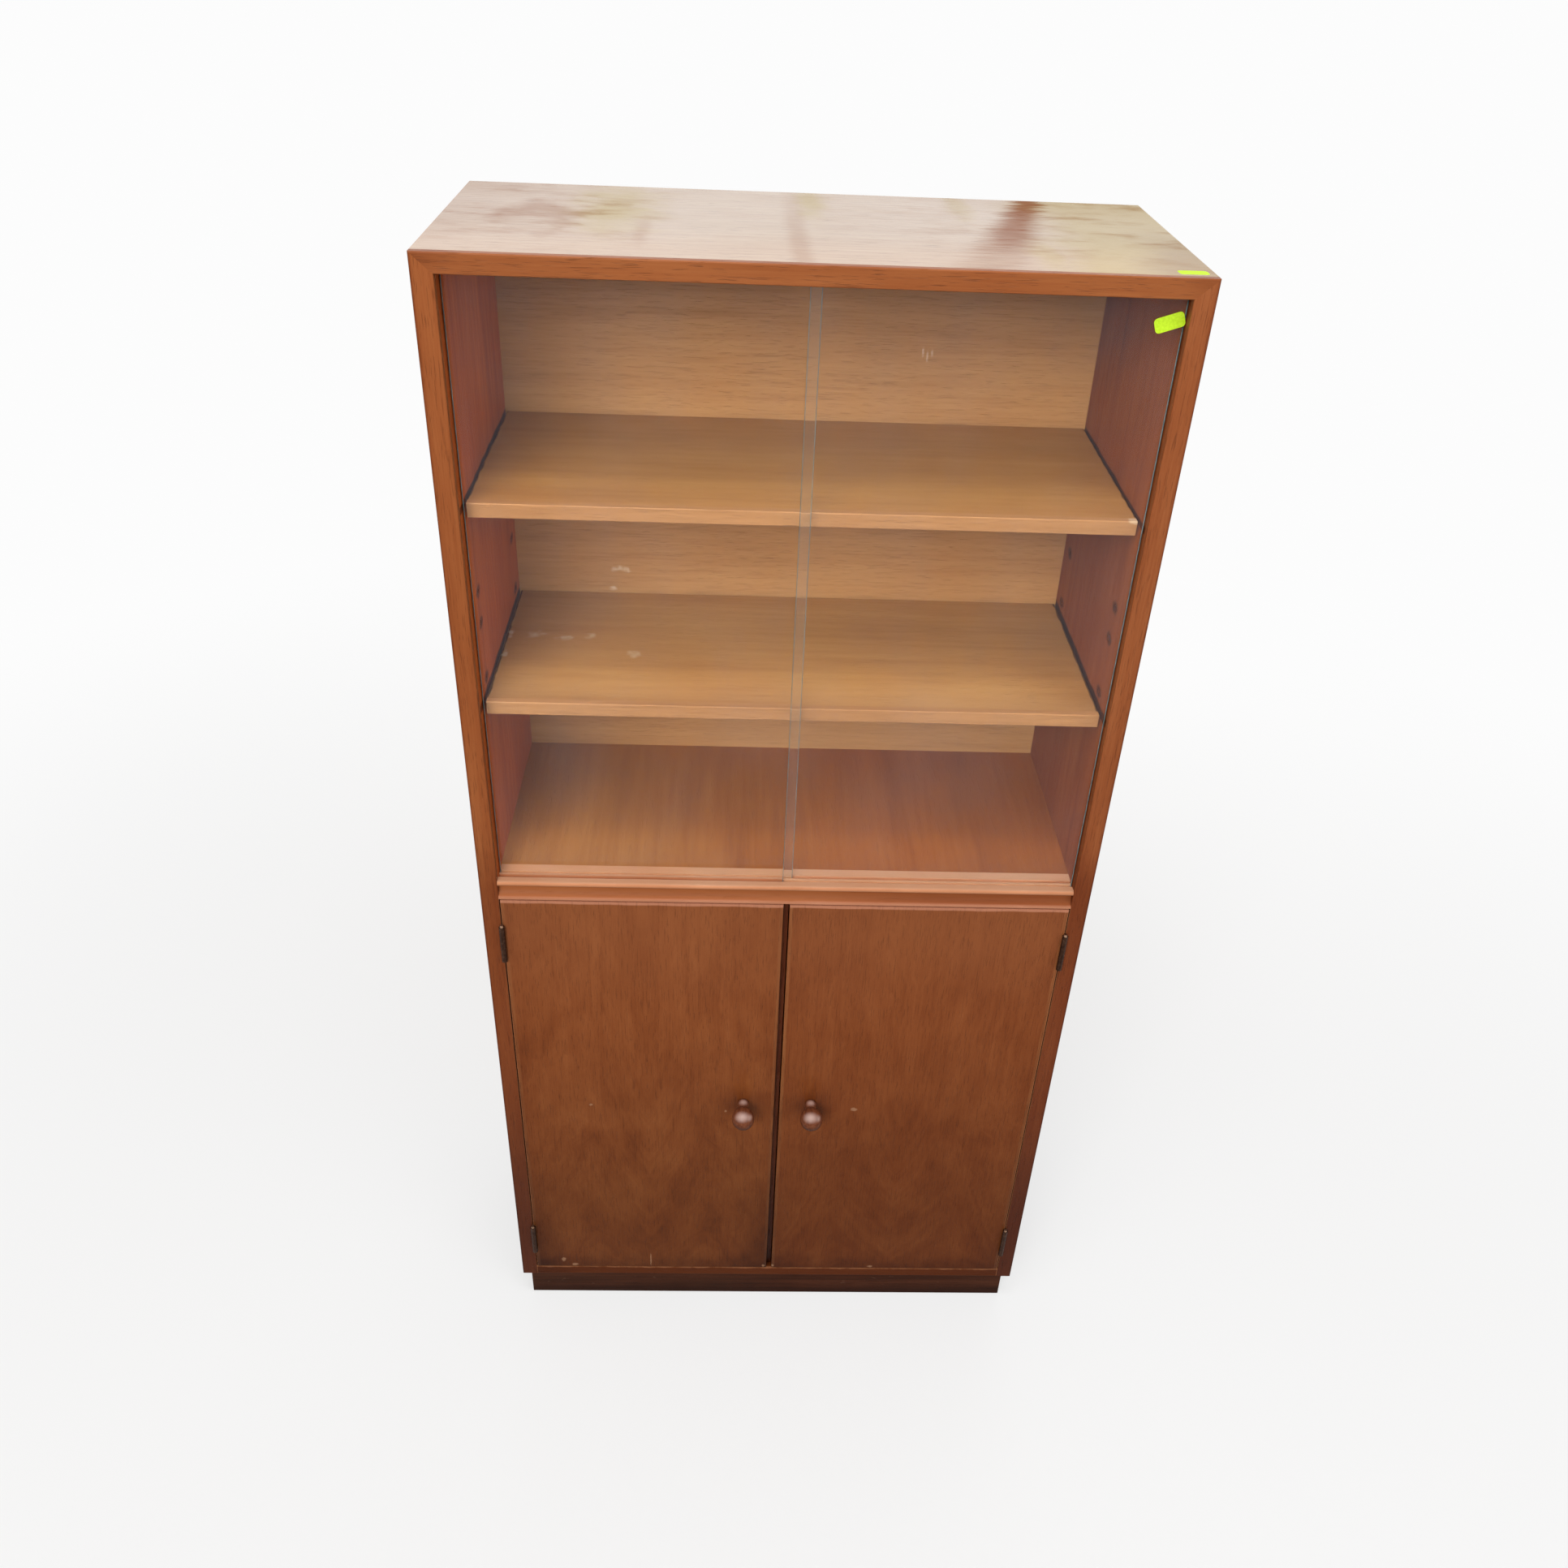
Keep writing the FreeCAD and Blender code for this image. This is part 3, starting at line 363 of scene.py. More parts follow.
holeGrimeAndShade = {
    "flatten": 0.62, "across": (-0.075, 0.133), "heights": (0.948, 0.9805, 1.0435, 1.0785, 1.166),
    "fray": (160, 0.006), "ring": (0.0112, 0.0072, 0.78, (0.22, 0.16, 0.14)),
}
# painted shade on the sides along the gaps at the shelves' ends
shelfLine = {
    "reach": {lowerShelfTop: 0.0052, upperShelfTop: 0.0028},
    "above": (-0.003, -0.005), "below": (-0.009, -0.007),
    "fray": ((1, 40, 90), -0.006), "sideRun": (0.3235, 0.3232, 0, 0.85), "tone": (0.14, 0.09, 0.08),
}
mitreDirt = {"jointRun": (0.0035, 0.0, 0, 0.45), "cornerRun": (-0.05, -0.01), "cornerShare": 0.4,
             "tone": (0.5, 0.32, 0.26)}


def topPatch(place, centre, size, soft, ragged):
    return patch(place, (*centre, caseTop), (*size, 0.03), soft, ragged)


def topWear(place, colour, rough):
    # thick old polish, golden in places, and rubbed off in a leaning band and a ring
    age = topAge
    x, y, z = axes(place)
    streaks = less(cloud(place, age["streaks"], 5, 0.7), 0.5)
    clouds = less(cloud(place, age["clouds"], 4, 0.6), 0.5)
    drift = plus(clouds, age["drift"], x)
    golden = slide(drift, *age["goldenRun"])
    for centre, size, share in age["spots"]:
        spot = topPatch(place, centre, size, *age["spotRim"])
        golden = most(golden, times(spot, share))
    colour = mixColours(golden, colour, age["golden"])
    colour = stain(colour, y, *age["front"])
    corner = times(slide(drift, *age["cornerRun"]), slide(y, *age["cornerDepth"]))
    colour = darken(corner, colour, age["cornerRed"])

    leaning = plus(y, age["rubLean"], less(x, age["rubMiddle"]))
    away = gap(plus(streaks, age["rubStreaks"], leaning))
    wide = plus(y, age["rubTaper"], age["rubHalf"])
    rubbed = slide(calc("DIVIDE", away, wide), *age["rubEdge"])
    rubbed = times(rubbed, slide(plus(streaks, age["rubFray"], y), *age["rubRun"]))
    leaning = plus(y, age["hazeLean"], plus(streaks, age["hazeStreaks"], x))
    haze = slide(gap(leaning, age["hazeMiddle"]), *age["hazeEdge"])
    haze = times(haze, slide(y, *age["hazeRun"]))
    smear, oval, hollow = (topPatch(place, *age[name]) for name in ("smear", "oval", "hollow"))
    ring = most(less(oval, times(hollow, age["hollowShare"])), 0.0)
    thin = most(most(rubbed, haze), times(ring, age["ringShare"]))
    thin = most(thin, times(smear, age["smearShare"]))
    end = times(slide(drift, *age["endRun"]), slide(y, *age["endDepth"]))
    moved = mapped(place, age["smudges"], age["smudgeShift"])
    smudge = slide(cloud(moved, 1, 4, 0.65), *age["smudgeRun"])
    smudge = times(smudge, slide(gap(x, age["smudgeMiddle"]), *age["smudgeSide"]))
    smudge = times(smudge, slide(y, *age["smudgeDepth"]))
    thin = calc("MINIMUM", calc("ADD", calc("ADD", thin, smudge), end), 1.0)
    colour = mixColours(thin, colour, age["rubbedRed"])
    rough = plus(thin, age["thinRough"], rough)

    polish = plus(clouds, age["cloudPolish"], plus(golden, age["goldenPolish"], age["polish"]))
    polish = calc("ADD", plus(thin, age["thinPolish"], polish), slide(y, *age["backPolish"]))
    coat = place.id_data.nodes["Principled BSDF"].inputs["Coat Weight"]
    feed(coat, calc("MINIMUM", most(polish, 0.0), 1.0))
    return colour, rough


def caseShadeWearAndGapLight(place, colour, rough):
    # painted shade darkens the case towards its foot, hands darken its outer edges, and painted light makes
    # the faces beside the doors pale
    age = caseAge
    x, y, z = axes(place)
    height = frayed(place, z, *age["fray"])
    side = gap(x)
    # painted shade towards the foot
    for layer in age["low"]:
        colour = stain(colour, height, *layer)
    colour = stain(colour, side, *age["rim"])
    # painted light on the faces beside the doors
    paleWood = slide(gap(side, age["doorGap"]), *age["gapEdge"])
    paleWood = times(paleWood, slide(z, *age["gapRun"]))
    colour = mixColours(paleWood, colour, caseLipping["paleWood"])
    return colour, calc("ADD", rough, slide(height, *age["roughRun"]))


def footWear(place, colour, rough):
    # shoes and brooms have worn the upper edge of the bottom lipping
    colour, rough = caseShadeWearAndGapLight(place, colour, rough)
    x, y, z = axes(place)
    worn = slide(frayed(place, z, *footAge["fray"]), *footAge["arrisRun"])
    worn = times(worn, slide(y, *footAge["frontRun"]))
    colour = stain(colour, x, *footAge["leftEnd"])
    return mixColours(worn, colour, caseLipping["paleWood"]), rough


def sideWear(place, colour, rough):
    # painted shade, edge wear and painted light in the door gaps outside, and painted light that makes the
    # inner face of the left side paler
    outside, rough = caseShadeWearAndGapLight(place, colour, rough)
    x, y, z = axes(place)
    side = gap(x)
    # painted light on the inner face of the left side
    pale = darken(1.0, colour, sideVeneer["leftInside"])
    inside = mixColours(slide(x, *sideVeneer["leftRun"]), pale, colour)
    colour = mixColours(slide(side, *sideVeneer["insideRun"]), outside, inside)
    # a ring of grime and painted shade about the mouth of each peg hole, which makes the holes look wider
    flatten = holeGrimeAndShade["flatten"]
    mouths = [(sideFace, across * flatten, height)
              for across in holeGrimeAndShade["across"] for height in holeGrimeAndShade["heights"]]
    folded = point(side, times(y, flatten), z)
    away = frayed(place, nearest(folded, mouths), *holeGrimeAndShade["fray"])
    colour = stain(colour, away, *holeGrimeAndShade["ring"])
    # painted shade where the shelves meet the sides, along the gaps at their ends
    for top, reach in shelfLine["reach"].items():
        above = frayed(place, less(z, top), *shelfLine["fray"])
        upper = slide(above, *(reach + edge for edge in shelfLine["above"]))
        line = times(upper, slide(above, *shelfLine["below"]))
        line = times(line, slide(side, *shelfLine["sideRun"]))
        colour = darken(line, colour, shelfLine["tone"])
    return colour, rough


def topEdgeWear(place, colour, rough):
    # the mitres have darkened where the two lippings meet
    x, y, z = axes(place)
    side = gap(x)
    joint = slide(gap(less(side, z), caseHalf - caseTop), *mitreDirt["jointRun"])
    edges = (caseHalf + caseTop + edge for edge in mitreDirt["cornerRun"])
    corner = slide(calc("ADD", side, z), *edges, 0, mitreDirt["cornerShare"])
    return darken(most(joint, corner), colour, mitreDirt["tone"]), rough


for side, veneerTint, lippingTint in (("left", (1.06, 1.04, 1.0), (0.97, 0.98, 1.06)),
                                      ("right", (0.84, 0.82, 0.84), (0.88, 0.86, 1.0))):
    look = {**sideVeneer, "tint": veneerTint}
    paint(side + "_side_panel", woodFinish(side + "SideVeneer", look, sideWear))
    look = {**caseLipping, "tint": lippingTint}
    paint(side + "_side_lipping", woodFinish(side + "SideLipping", look, caseShadeWearAndGapLight))
paint("top_panel", woodFinish("topVeneer", topVeneer, topWear, Coat_Roughness=0.11))
levelLook = {**caseLipping, "axis": "x", "gloss": 0.12, "tint": (0.9, 0.9, 0.95)}
paint("top_lipping", woodFinish("levelLipping", levelLook, topEdgeWear))
footLook = {**caseLipping, "axis": "x", "gloss": 0.05, "tint": (1.16, 1.26, 1.2)}
paintAll(["bottom_lipping", "bottom_panel"], woodFinish("footLipping", footLook, footWear))
print("case finished")


# Rail between the stages, and the glazed floor

railWood = {
    **redWood, "axis": "x", "bands": 30, "rings": 1.0, "figure": (0.4, 0.0, 0.12, 0.2),
    "poreShare": 0.1, "rough": 0.46, "gloss": 0.12, "depth": 0.00008,
    "tones": [(0.23, 0.064, 0.018), (0.33, 0.1, 0.03), (0.385, 0.125, 0.04), (0.45, 0.16, 0.06)],
    "fray": (14, 0.9), "least": 0.35, "right": (-0.1, 0.25, 0.75, (0.7, 0.58, 0.52)),
    # nosing, land and lip: painted highlights
    "nosing": ((0.7425, 0.7455, 0, 0.85), (0.64, 0.285, 0.145)),
    "land": ((0.7478, 0.7488, 0, 0.8), (0.45, 0.25, 0.152)),
    "lip": ((0.729, 0.7268, 0, 0.95), (0.56, 0.245, 0.14)),
}
floorVeneer = {
    **redWood, "axis": "y", "cut": (0.0, 0.4, 0.0), "bands": 24,
    "figure": (0.45, 0.02, 0.3, 0.22), "poreShare": 0.2, "rough": 0.33, "gloss": 0.12,
    "tones": [(0.24, 0.08, 0.017), (0.38, 0.142, 0.03), (0.44, 0.176, 0.04), (0.51, 0.228, 0.06)],
    "fray": (6, 0.2), "right": [(-0.1, 0.2, 0.75, (0.92, 0.62, 0.44)), (0.22, 0.36, 0.4, (0.74, 0.68, 0.6))],
    "front": (-0.03, -0.1, 0.85, (0.74, 0.74, 0.95)), "back": (0.0, 0.15, 0.3),
}
backShadeLook = {"fray": (8, 0.06), "tone": (0.66, 0.62, 0.6)}


def railWear(place, colour, rough):
    # painted highlights where the nosing, the land behind it and the lip catch the light, and the cove keeps
    # its colour
    x, y, z = axes(place)
    scale, share = railWood["fray"]
    uneven = frayed(place, railWood["least"], (scale,) * 3, share)
    colour = stain(colour, x, *railWood["right"])
    for name in ("nosing", "land", "lip"):
        run, tone = railWood[name]
        colour = mixColours(times(slide(z, *run), uneven), colour, tone)
    return colour, rough


def backShade(place, colour, *share):
    # painted shade darkens the veneer towards the back
    deep = frayed(place, axes(place)[1], *backShadeLook["fray"])
    return stain(colour, deep, *share, backShadeLook["tone"])


def floorWear(place, colour, rough):
    # redder at the right, where the sun did not reach
    x, y, z = axes(place)
    drift = frayed(place, x, *floorVeneer["fray"])
    for layer in floorVeneer["right"]:
        colour = stain(colour, drift, *layer)
    # painted shade at the front, and towards the back
    colour = stain(colour, y, *floorVeneer["front"])
    return backShade(place, colour, *floorVeneer["back"]), rough


paint("front_rail", woodFinish("railWood", railWood, railWear))
paint("glazed_floor", woodFinish("glazedFloorVeneer", floorVeneer, floorWear))


# Back and shelves. Marks are (centre, half-size, share).

backPly = {
    **redWood, "axis": "x", "bands": 30, "stretch": 16, "wander": 0.006, "rings": 2.0,
    "figure": (0.28, 0.02, 0.24, 0.42), "poreShare": 0.22,
    "tones": [(0.33, 0.145, 0.045), (0.45, 0.215, 0.074), (0.51, 0.258, 0.095), (0.59, 0.325, 0.13)],
    "poreColour": (0.2, 0.09, 0.035), "blotchColour": (0.9, 0.8, 0.7), "rough": 0.5, "gloss": 0.15,
}
backMarks = {
    "face": (0.163, 0.1615), "tone": (0.86, 0.7, 0.55), "share": 0.4, "rim": (0.8, 0.5), "depth": 0.01,
    # across, up, and half-sizes across and up
    "rubs": [(-0.202, 0.996, 0.013, 0.0055), (-0.211, 0.9705, 0.005, 0.004), (0.133, 1.262, 0.0016, 0.007),
             (0.138, 1.258, 0.0016, 0.008), (0.143, 1.261, 0.0016, 0.006)],
    # high: painted shade towards the top, under the top panel
    "fray": (7, 0.1), "high": (1.25, 1.46, 0.5, (0.66, 0.56, 0.46)),
}
shelfVeneer = {
    **backPly, "cut": (0.2, 0.3, 0.0), "bands": 18, "rough": 0.38, "gloss": 0.14,
    "figure": (0.46, 0.02, 0.34, 0.42), "blotchShare": 0.7, "blotchColour": (0.84, 0.72, 0.58),
    "tones": [(0.39, 0.165, 0.044), (0.53, 0.242, 0.07), (0.59, 0.284, 0.088), (0.66, 0.345, 0.118)],
}
shelfLipping = {
    **shelfVeneer, "bands": 40, "blotchShare": 0.3,
    "tones": [(0.265, 0.115, 0.04), (0.358, 0.163, 0.062), (0.4, 0.188, 0.075), (0.45, 0.225, 0.097)],
    "chip": ((0.3195, -0.098, upperShelfTop), (0.009, 0.012, 0.004), 0.45),
    "chipRim": (0.4, 0.3), "chipTone": (0.66, 0.52, 0.36),
}
shelfAge = {
    # painted shade along the gap at each sawn end
    "fray": (60, 0.005), "endGapWidth": 0.0014, "endGapShade": (0.88, (0.14, 0.08, 0.06)),
    "stainRim": (0.9, 0.7), "stainTone": (0.78, 0.62, 0.44), "stainHeight": 0.02,
    # where books stood, then torn veneer at the left end: centre, half-size, share
    "stains": [((-0.288, 0.047), (0.01, 0.01), 0.44), ((-0.256, 0.041), (0.013, 0.006), 0.42),
               ((-0.227, 0.047), (0.007, 0.008), 0.42), ((-0.177, 0.007), (0.008, 0.008), 0.36),
               ((-0.3172, 0.05), (0.0055, 0.012), 0.6), ((-0.3165, 0.0), (0.0045, 0.009), 0.55)],
    "dullScale": 9, "dullRun": (0.45, 0.7), "dullRough": 0.15,
    "frontRun": (-0.025, -0.095), "frontTone": (0.74, 0.71, 0.82),
    "endRun": (0.2, 0.318), "endTone": (0.7, 0.66, 0.62), "backRun": (-0.02, 0.18),
}
shelfLooks = {
    "upper": {"tint": (0.86, 0.87, 0.82), "endGapStart": 0.3215, "front": 0.7, "back": 0.6, "ends": 0.1},
    "lower": {"tint": (1.0, 1.08, 1.1), "endGapStart": 0.3207, "front": 1.0, "back": 0.42, "ends": 0.5},
    "cupboard": {"tint": (0.9, 0.9, 0.9), "endGapStart": 0.322, "front": 0.0, "back": 0.4, "ends": 0.2},
}


def shelfWear(look):
    age = shelfAge

    def wear(place, colour, rough):
        # painted shade along the gaps at the sawn ends and at its front, ends and back, and stains on the
        # lower shelf
        x, y, z = axes(place)
        ends = frayed(place, gap(x), *age["fray"])
        # painted shade along the gap at the end
        gapStart = look["endGapStart"]
        colour = stain(colour, ends, gapStart, gapStart + age["endGapWidth"], *age["endGapShade"])
        stains = [((*centre, lowerShelfTop), (*size, age["stainHeight"]), share)
                  for centre, size, share in age["stains"]]
        colour = spotted(place, colour, stains, *age["stainRim"], age["stainTone"])
        dull = slide(cloud(place, age["dullScale"], 4), *age["dullRun"])
        colour = stain(colour, y, *age["frontRun"], look["front"], age["frontTone"])
        colour = stain(colour, ends, *age["endRun"], look["ends"], age["endTone"])
        colour = backShade(place, colour, *age["backRun"], look["back"])
        return colour, plus(dull, age["dullRough"], rough)

    return wear


def backWear(place, colour, rough):
    # rubs and a smear of old filler on the face of the ply, and painted shade that darkens it towards the top
    age = backMarks
    x, y, z = axes(place)
    face = slide(y, *age["face"])
    for across, up, wide, tall in age["rubs"]:
        rub = patch(place, (across, backFace, up), (wide, age["depth"], tall), *age["rim"])
        share = times(times(rub, face), age["share"])
        colour = mixColours(share, colour, age["tone"])
    return stain(colour, frayed(place, z, *age["fray"]), *age["high"]), rough


def lippingWear(place, colour, rough):
    # the chipped corner at the right of the upper shelf
    look = shelfLipping
    return spotted(place, colour, [look["chip"]], *look["chipRim"], look["chipTone"]), rough


paint("back_panel", woodFinish("backPly", backPly, backWear))
lippingFinish = woodFinish("shelfLipping", shelfLipping, lippingWear)
for name, look in shelfLooks.items():
    veneer = {**shelfVeneer, "tint": look["tint"]}
    paint(name + "_shelf", woodFinish(name + "ShelfVeneer", veneer, shelfWear(look)))
    paint(name + "_shelf_lipping", lippingFinish)
print("shelves finished")


# Doors: each has two veneer leaves that open like a book about its own middle line

doorVeneer = {
    **redWood, "rough": 0.37, "gloss": 0.06, "poreShare": 0.22, "blotchShare": 0.35,
    "stops": (0.16, 0.42, 0.58, 0.86),
    "tones": [(0.12, 0.032, 0.011), (0.215, 0.06, 0.019), (0.262, 0.08, 0.027), (0.34, 0.119, 0.044)],
}
crotch = {
    "drift": (9, 1, 5), "flutter": (34, 1, 24), "sweepDrift": 0.04, "sweepFlutter": 0.016,
    "peak": 0.07, "climbRun": (0.1, 0.48, 0.068, 0.204), "dropRun": (0.063, 0.158, 0, 0.14),
    "rootDrift": 0.08, "rootFlutter": 0.045,
    "plume": (70, 14), "flame": (15, 12), "straight": (110, 4), "upperDrift": 0.18, "upperRun": (0.31, 0.534),
    "clouds": (20, 1, 13), "fibres": (650, 1, 16), "pores": (1300, 1, 45),
    "lineShare": 0.32, "flameShare": 0.45, "cloudShare": 0.65, "upperCalm": -0.45, "patchShare": 1.05,
    "fibreShare": 0.22,
}
doorLipping = {
    **redWood, "bands": 80, "rings": 1.0, "rough": 0.34, "gloss": 0.08,
    "tones": [(0.15, 0.044, 0.013), (0.235, 0.072, 0.021), (0.29, 0.098, 0.031), (0.35, 0.135, 0.047)],
}
doorAge = {
    # halo: painted shadow of the knob on the door, with hand grime, and a smoother polish
    "haloSize": (0.04, 0.05, 0.038), "haloDrop": 0.004, "haloRim": (0.95, 0.1), "haloShare": 0.55,
    "halo": (0.36, 0.24, 0.2), "haloRough": -0.08,
    "fray": (12, 0.1), "grimeFray": (45, 0.05),
    # low: painted shade that darkens the doors towards the foot; grime: dirt near the foot
    "low": (0.66, 0.16, 0.56, (0.38, 0.36, 0.2)), "grime": (0.135, 0.085, 0.6, (0.34, 0.25, 0.2)),
    "edgeRun": (0.135, 0.162), "edgeTone": (0.55, 0.42, 0.36),
    # high: painted light that makes the doors lighter towards the top
    "high": (0.56, 0.78, 0.22, (0.34, 0.128, 0.056), "MIX"),
    "cornerSide": (0.105, 0.155), "cornerHeight": (0.34, 0.13), "cornerTone": (0.4, 0.36, 0.34),
    "markRim": (0.5, 0.3), "markShare": 0.45, "markTone": (0.5, 0.28, 0.16),
    # hinge: painted light that makes the door's hinge edge pale inside the gap
    "hinge": (0.3209, 0.3213, 0.8, caseLipping["paleWood"], "MIX"), "arrisFray": ((20, 1, 60), 0.003),
    # arris: painted light that makes the top edge of the door pale in the gap under the rail
    "arris": (doorHead - 0.003, doorHead - 0.0012, 0.85, (0.52, 0.215, 0.125), "MIX"),
    # rebate: painted shade on the faces inside the meeting rebate
    "rebateRun": (0.0041, 0.0034), "rebateDepth": 0.004, "rebateShare": 0.95, "rebateShade": (0.42, 0.26, 0.16),
}
# marks are across, up, and half-sizes across and up
doorSides = {
    "left": {"hand": -1, "page": 0.7, "tint": (1.0, 0.96, 0.84), "edgeDirt": 0.3,
             "marks": [(-0.0645, 0.385, 0.0022, 0.0025), (-0.2696, 0.0725, 0.005, 0.0035),
                       (-0.285, 0.083, 0.0035, 0.005), (-0.1643, 0.084, 0.0012, 0.015),
                       (-0.008, 0.0725, 0.0028, 0.003), (-0.2343, 0.394, 0.003, 0.0022)]},
    "right": {"hand": 1, "page": 4.3, "tint": (0.93, 0.85, 0.73), "edgeDirt": 0.12,
              "marks": [(0.0982, 0.3907, 0.005, 0.0035), (0.0052, 0.073, 0.0022, 0.003),
                        (0.142, 0.072, 0.005, 0.0025)]},
}


def crotchFigure(place, look):
    # straight grain above, and a soft plume below that rises from the middle line, then falls to the corners
    form = crotch
    x, y, z = axes(place)
    page = look["page"]
    fold = gap(x, look["middle"])
    leaf = point(fold, page, z)
    drift = less(cloud(leaf, form["drift"], 3), 0.5)
    flutter = less(cloud(leaf, form["flutter"], 3), 0.5)
    swept = plus(flutter, form["sweepFlutter"], plus(drift, form["sweepDrift"], fold))
    climb = calc("MINIMUM", calc("DIVIDE", swept, form["peak"]), 1.0)
    climb = times(climb, slide(z, *form["climbRun"]))
    root = less(calc("ADD", z, slide(swept, *form["dropRun"])), climb)
    root = plus(flutter, form["rootFlutter"], plus(drift, form["rootDrift"], root))

    def lines(first, second, scales, rough):
        spread = point(times(first, scales[0]), page, times(second, scales[1]))
        return cloud(spread, 1, 4, rough)

    plume = lines(root, swept, form["plume"], 0.6)
    flame = lines(root, swept, form["flame"], 0.6)
    straight = lines(swept, z, form["straight"], 0.55)
    upper = slide(plus(drift, form["upperDrift"], z), *form["upperRun"])
    drawn = plus(upper, less(straight, plume), plume)
    clouds = cloud(mapped(place, form["clouds"], (0, page, 0)), 1, 5, 0.6)
    fibres = cloud(leaf, form["fibres"], 3, 0.6)
    tone = sway(drawn, form["lineShare"], 0.5)
    patches = sway(flame, form["flameShare"], times(less(clouds, 0.5), form["cloudShare"]))
    patches = times(patches, plus(upper, form["upperCalm"], 1.0))
    tone = plus(patches, form["patchShare"], tone)
    tone = sway(fibres, form["fibreShare"], tone)
    return tone, slide(cloud(leaf, form["pores"], 2), *woodScales["poreRun"])


def doorWear(look):
    age = doorAge

    def wear(place, colour, rough):
        # grime and a painted shadow about the knob, painted shade towards the foot and painted light towards
        # the top, dark at the foot, the edges and the lower corners, chipped, with painted light on the hinge
        # edge and along the top edge, and painted shade in the meeting rebate
        x, y, z = axes(place)
        # painted shadow of the knob, with hand grime
        centre = (look["hand"] * knobAcross, caseFront, knobHeight - age["haloDrop"])
        halo = patch(place, centre, age["haloSize"], *age["haloRim"])
        colour = darken(times(halo, age["haloShare"]), colour, age["halo"])
        height = frayed(place, z, *age["fray"])
        # painted shade towards the foot
        colour = stain(colour, height, *age["low"])
        colour = stain(colour, frayed(place, z, *age["grimeFray"]), *age["grime"])
        side = gap(x, look["hand"] * doorCentre)
        colour = stain(colour, side, *age["edgeRun"], look["edgeDirt"], age["edgeTone"])
        # painted light towards the top
        colour = stain(colour, height, *age["high"])
        low = slide(height, *age["cornerHeight"], 0, 2 * look["edgeDirt"])
        colour = darken(times(slide(side, *age["cornerSide"]), low), colour, age["cornerTone"])
        marks = [((across, caseFront, up), (wide, 0.01, tall), age["markShare"])
                 for across, up, wide, tall in look["marks"]]
        colour = spotted(place, colour, marks, *age["markRim"], age["markTone"])
        away = gap(x)
        # painted light on the hinge edge
        colour = stain(colour, away, *age["hinge"])
        # painted light along the top edge
        colour = stain(colour, frayed(place, z, *age["arrisFray"]), *age["arris"])
        # painted shade in the meeting rebate
        rebate = slide(y, caseFront, caseFront + age["rebateDepth"])
        rebate = times(times(slide(away, *age["rebateRun"]), rebate), age["rebateShare"])
        colour = darken(rebate, colour, age["rebateShade"])
        return colour, plus(halo, age["haloRough"], rough)

    return wear


for side, look in doorSides.items():
    veneer = {**doorVeneer, "middle": look["hand"] * doorCentre, "page": look["page"], "tint": look["tint"]}
    paint(side + "_door_panel", woodFinish(side + "DoorVeneer", veneer, doorWear(look), crotchFigure))
    paintAll([side + "_door_hinge_lipping", side + "_door_meeting_lipping"],
             woodFinish(side + "DoorLipping", doorLipping, doorWear(look)))
print("doors finished")


# Plinth and the wood that is out of sight

plinthWood = {
    **redWood, "axis": "x", "rough": 0.5, "gloss": 0.05, "blotchShare": 0.6,
    "tones": [(0.022, 0.007, 0.003), (0.05, 0.016, 0.007), (0.07, 0.022, 0.01), (0.1, 0.035, 0.017)],
    "scuffs": (60, 60, 200), "scuff": (0.66, 0.74, 0.45, (0.22, 0.12, 0.08), "MIX"),
    # painted shade near the floor
    "floorShadeFray": ((25, 25, 1), 0.016), "floorShade": (0.036, 0.01, 0.7, (0.3, 0.24, 0.22)),
}
rawWood = {
    **redWood, "rough": 0.7, "gloss": 0.2,
    "tones": [(0.36, 0.22, 0.11), (0.5, 0.35, 0.2), (0.57, 0.42, 0.26), (0.64, 0.5, 0.33)],
    "poreColour": (0.22, 0.13, 0.06),
}


def plinthWear(place, colour, rough):
    # scuffs show the raw wood under the stain, and painted shade darkens it near the floor
    colour = stain(colour, cloud(place, plinthWood["scuffs"], 4, 0.65), *plinthWood["scuff"])
    floorShade = frayed(place, axes(place)[2], *plinthWood["floorShadeFray"])
    return stain(colour, floorShade, *plinthWood["floorShade"]), rough


paintAll(["plinth_front", "plinth_back"], woodFinish("plinthWood", plinthWood, plinthWear))
paintAll(["plinth_left", "plinth_right"], woodFinish("plinthEndWood", {**plinthWood, "axis": "y"}, plinthWear))
paintAll(["plinth_blocks", "left_mitre_tongue", "right_mitre_tongue"], woodFinish("rawWood", rawWood))


# Metal and plastic

hingeBronze = {
    "tarnishScale": 260, "brush": (900, 900, 60), "brushRough": 0.12, "rough": 0.3, "roughSpread": 0.25,
    "depth": 0.00008,
    "tones": [(0.35, (0.03, 0.013, 0.008)), (0.55, (0.058, 0.027, 0.016)), (0.75, (0.125, 0.064, 0.04))],
}
screwBrass = {
    **hingeBronze, "rough": 0.22,
    "tones": [(0.35, (0.18, 0.1, 0.062)), (0.55, (0.34, 0.21, 0.138)), (0.75, (0.48, 0.32, 0.225))],
}
pegBrass = {
    **hingeBronze, "brush": (60, 900, 900),
    "tones": [(0.35, (0.13, 0.085, 0.04)), (0.55, (0.26, 0.18, 0.085)), (0.75, (0.4, 0.29, 0.14))],
}
dullSteel = {
    **hingeBronze, "rough": 0.32,
    "tones": [(0.35, (0.23, 0.215, 0.195)), (0.55, (0.4, 0.385, 0.36)), (0.75, (0.52, 0.505, 0.48))],
}
catch = {"mottle": 900, "rough": 0.38, "mottleRough": 0.2, "depth": 0.00006,
         "tones": [(0.3, (0.1, 0.05, 0.026)), (0.7, (0.16, 0.085, 0.048))]}


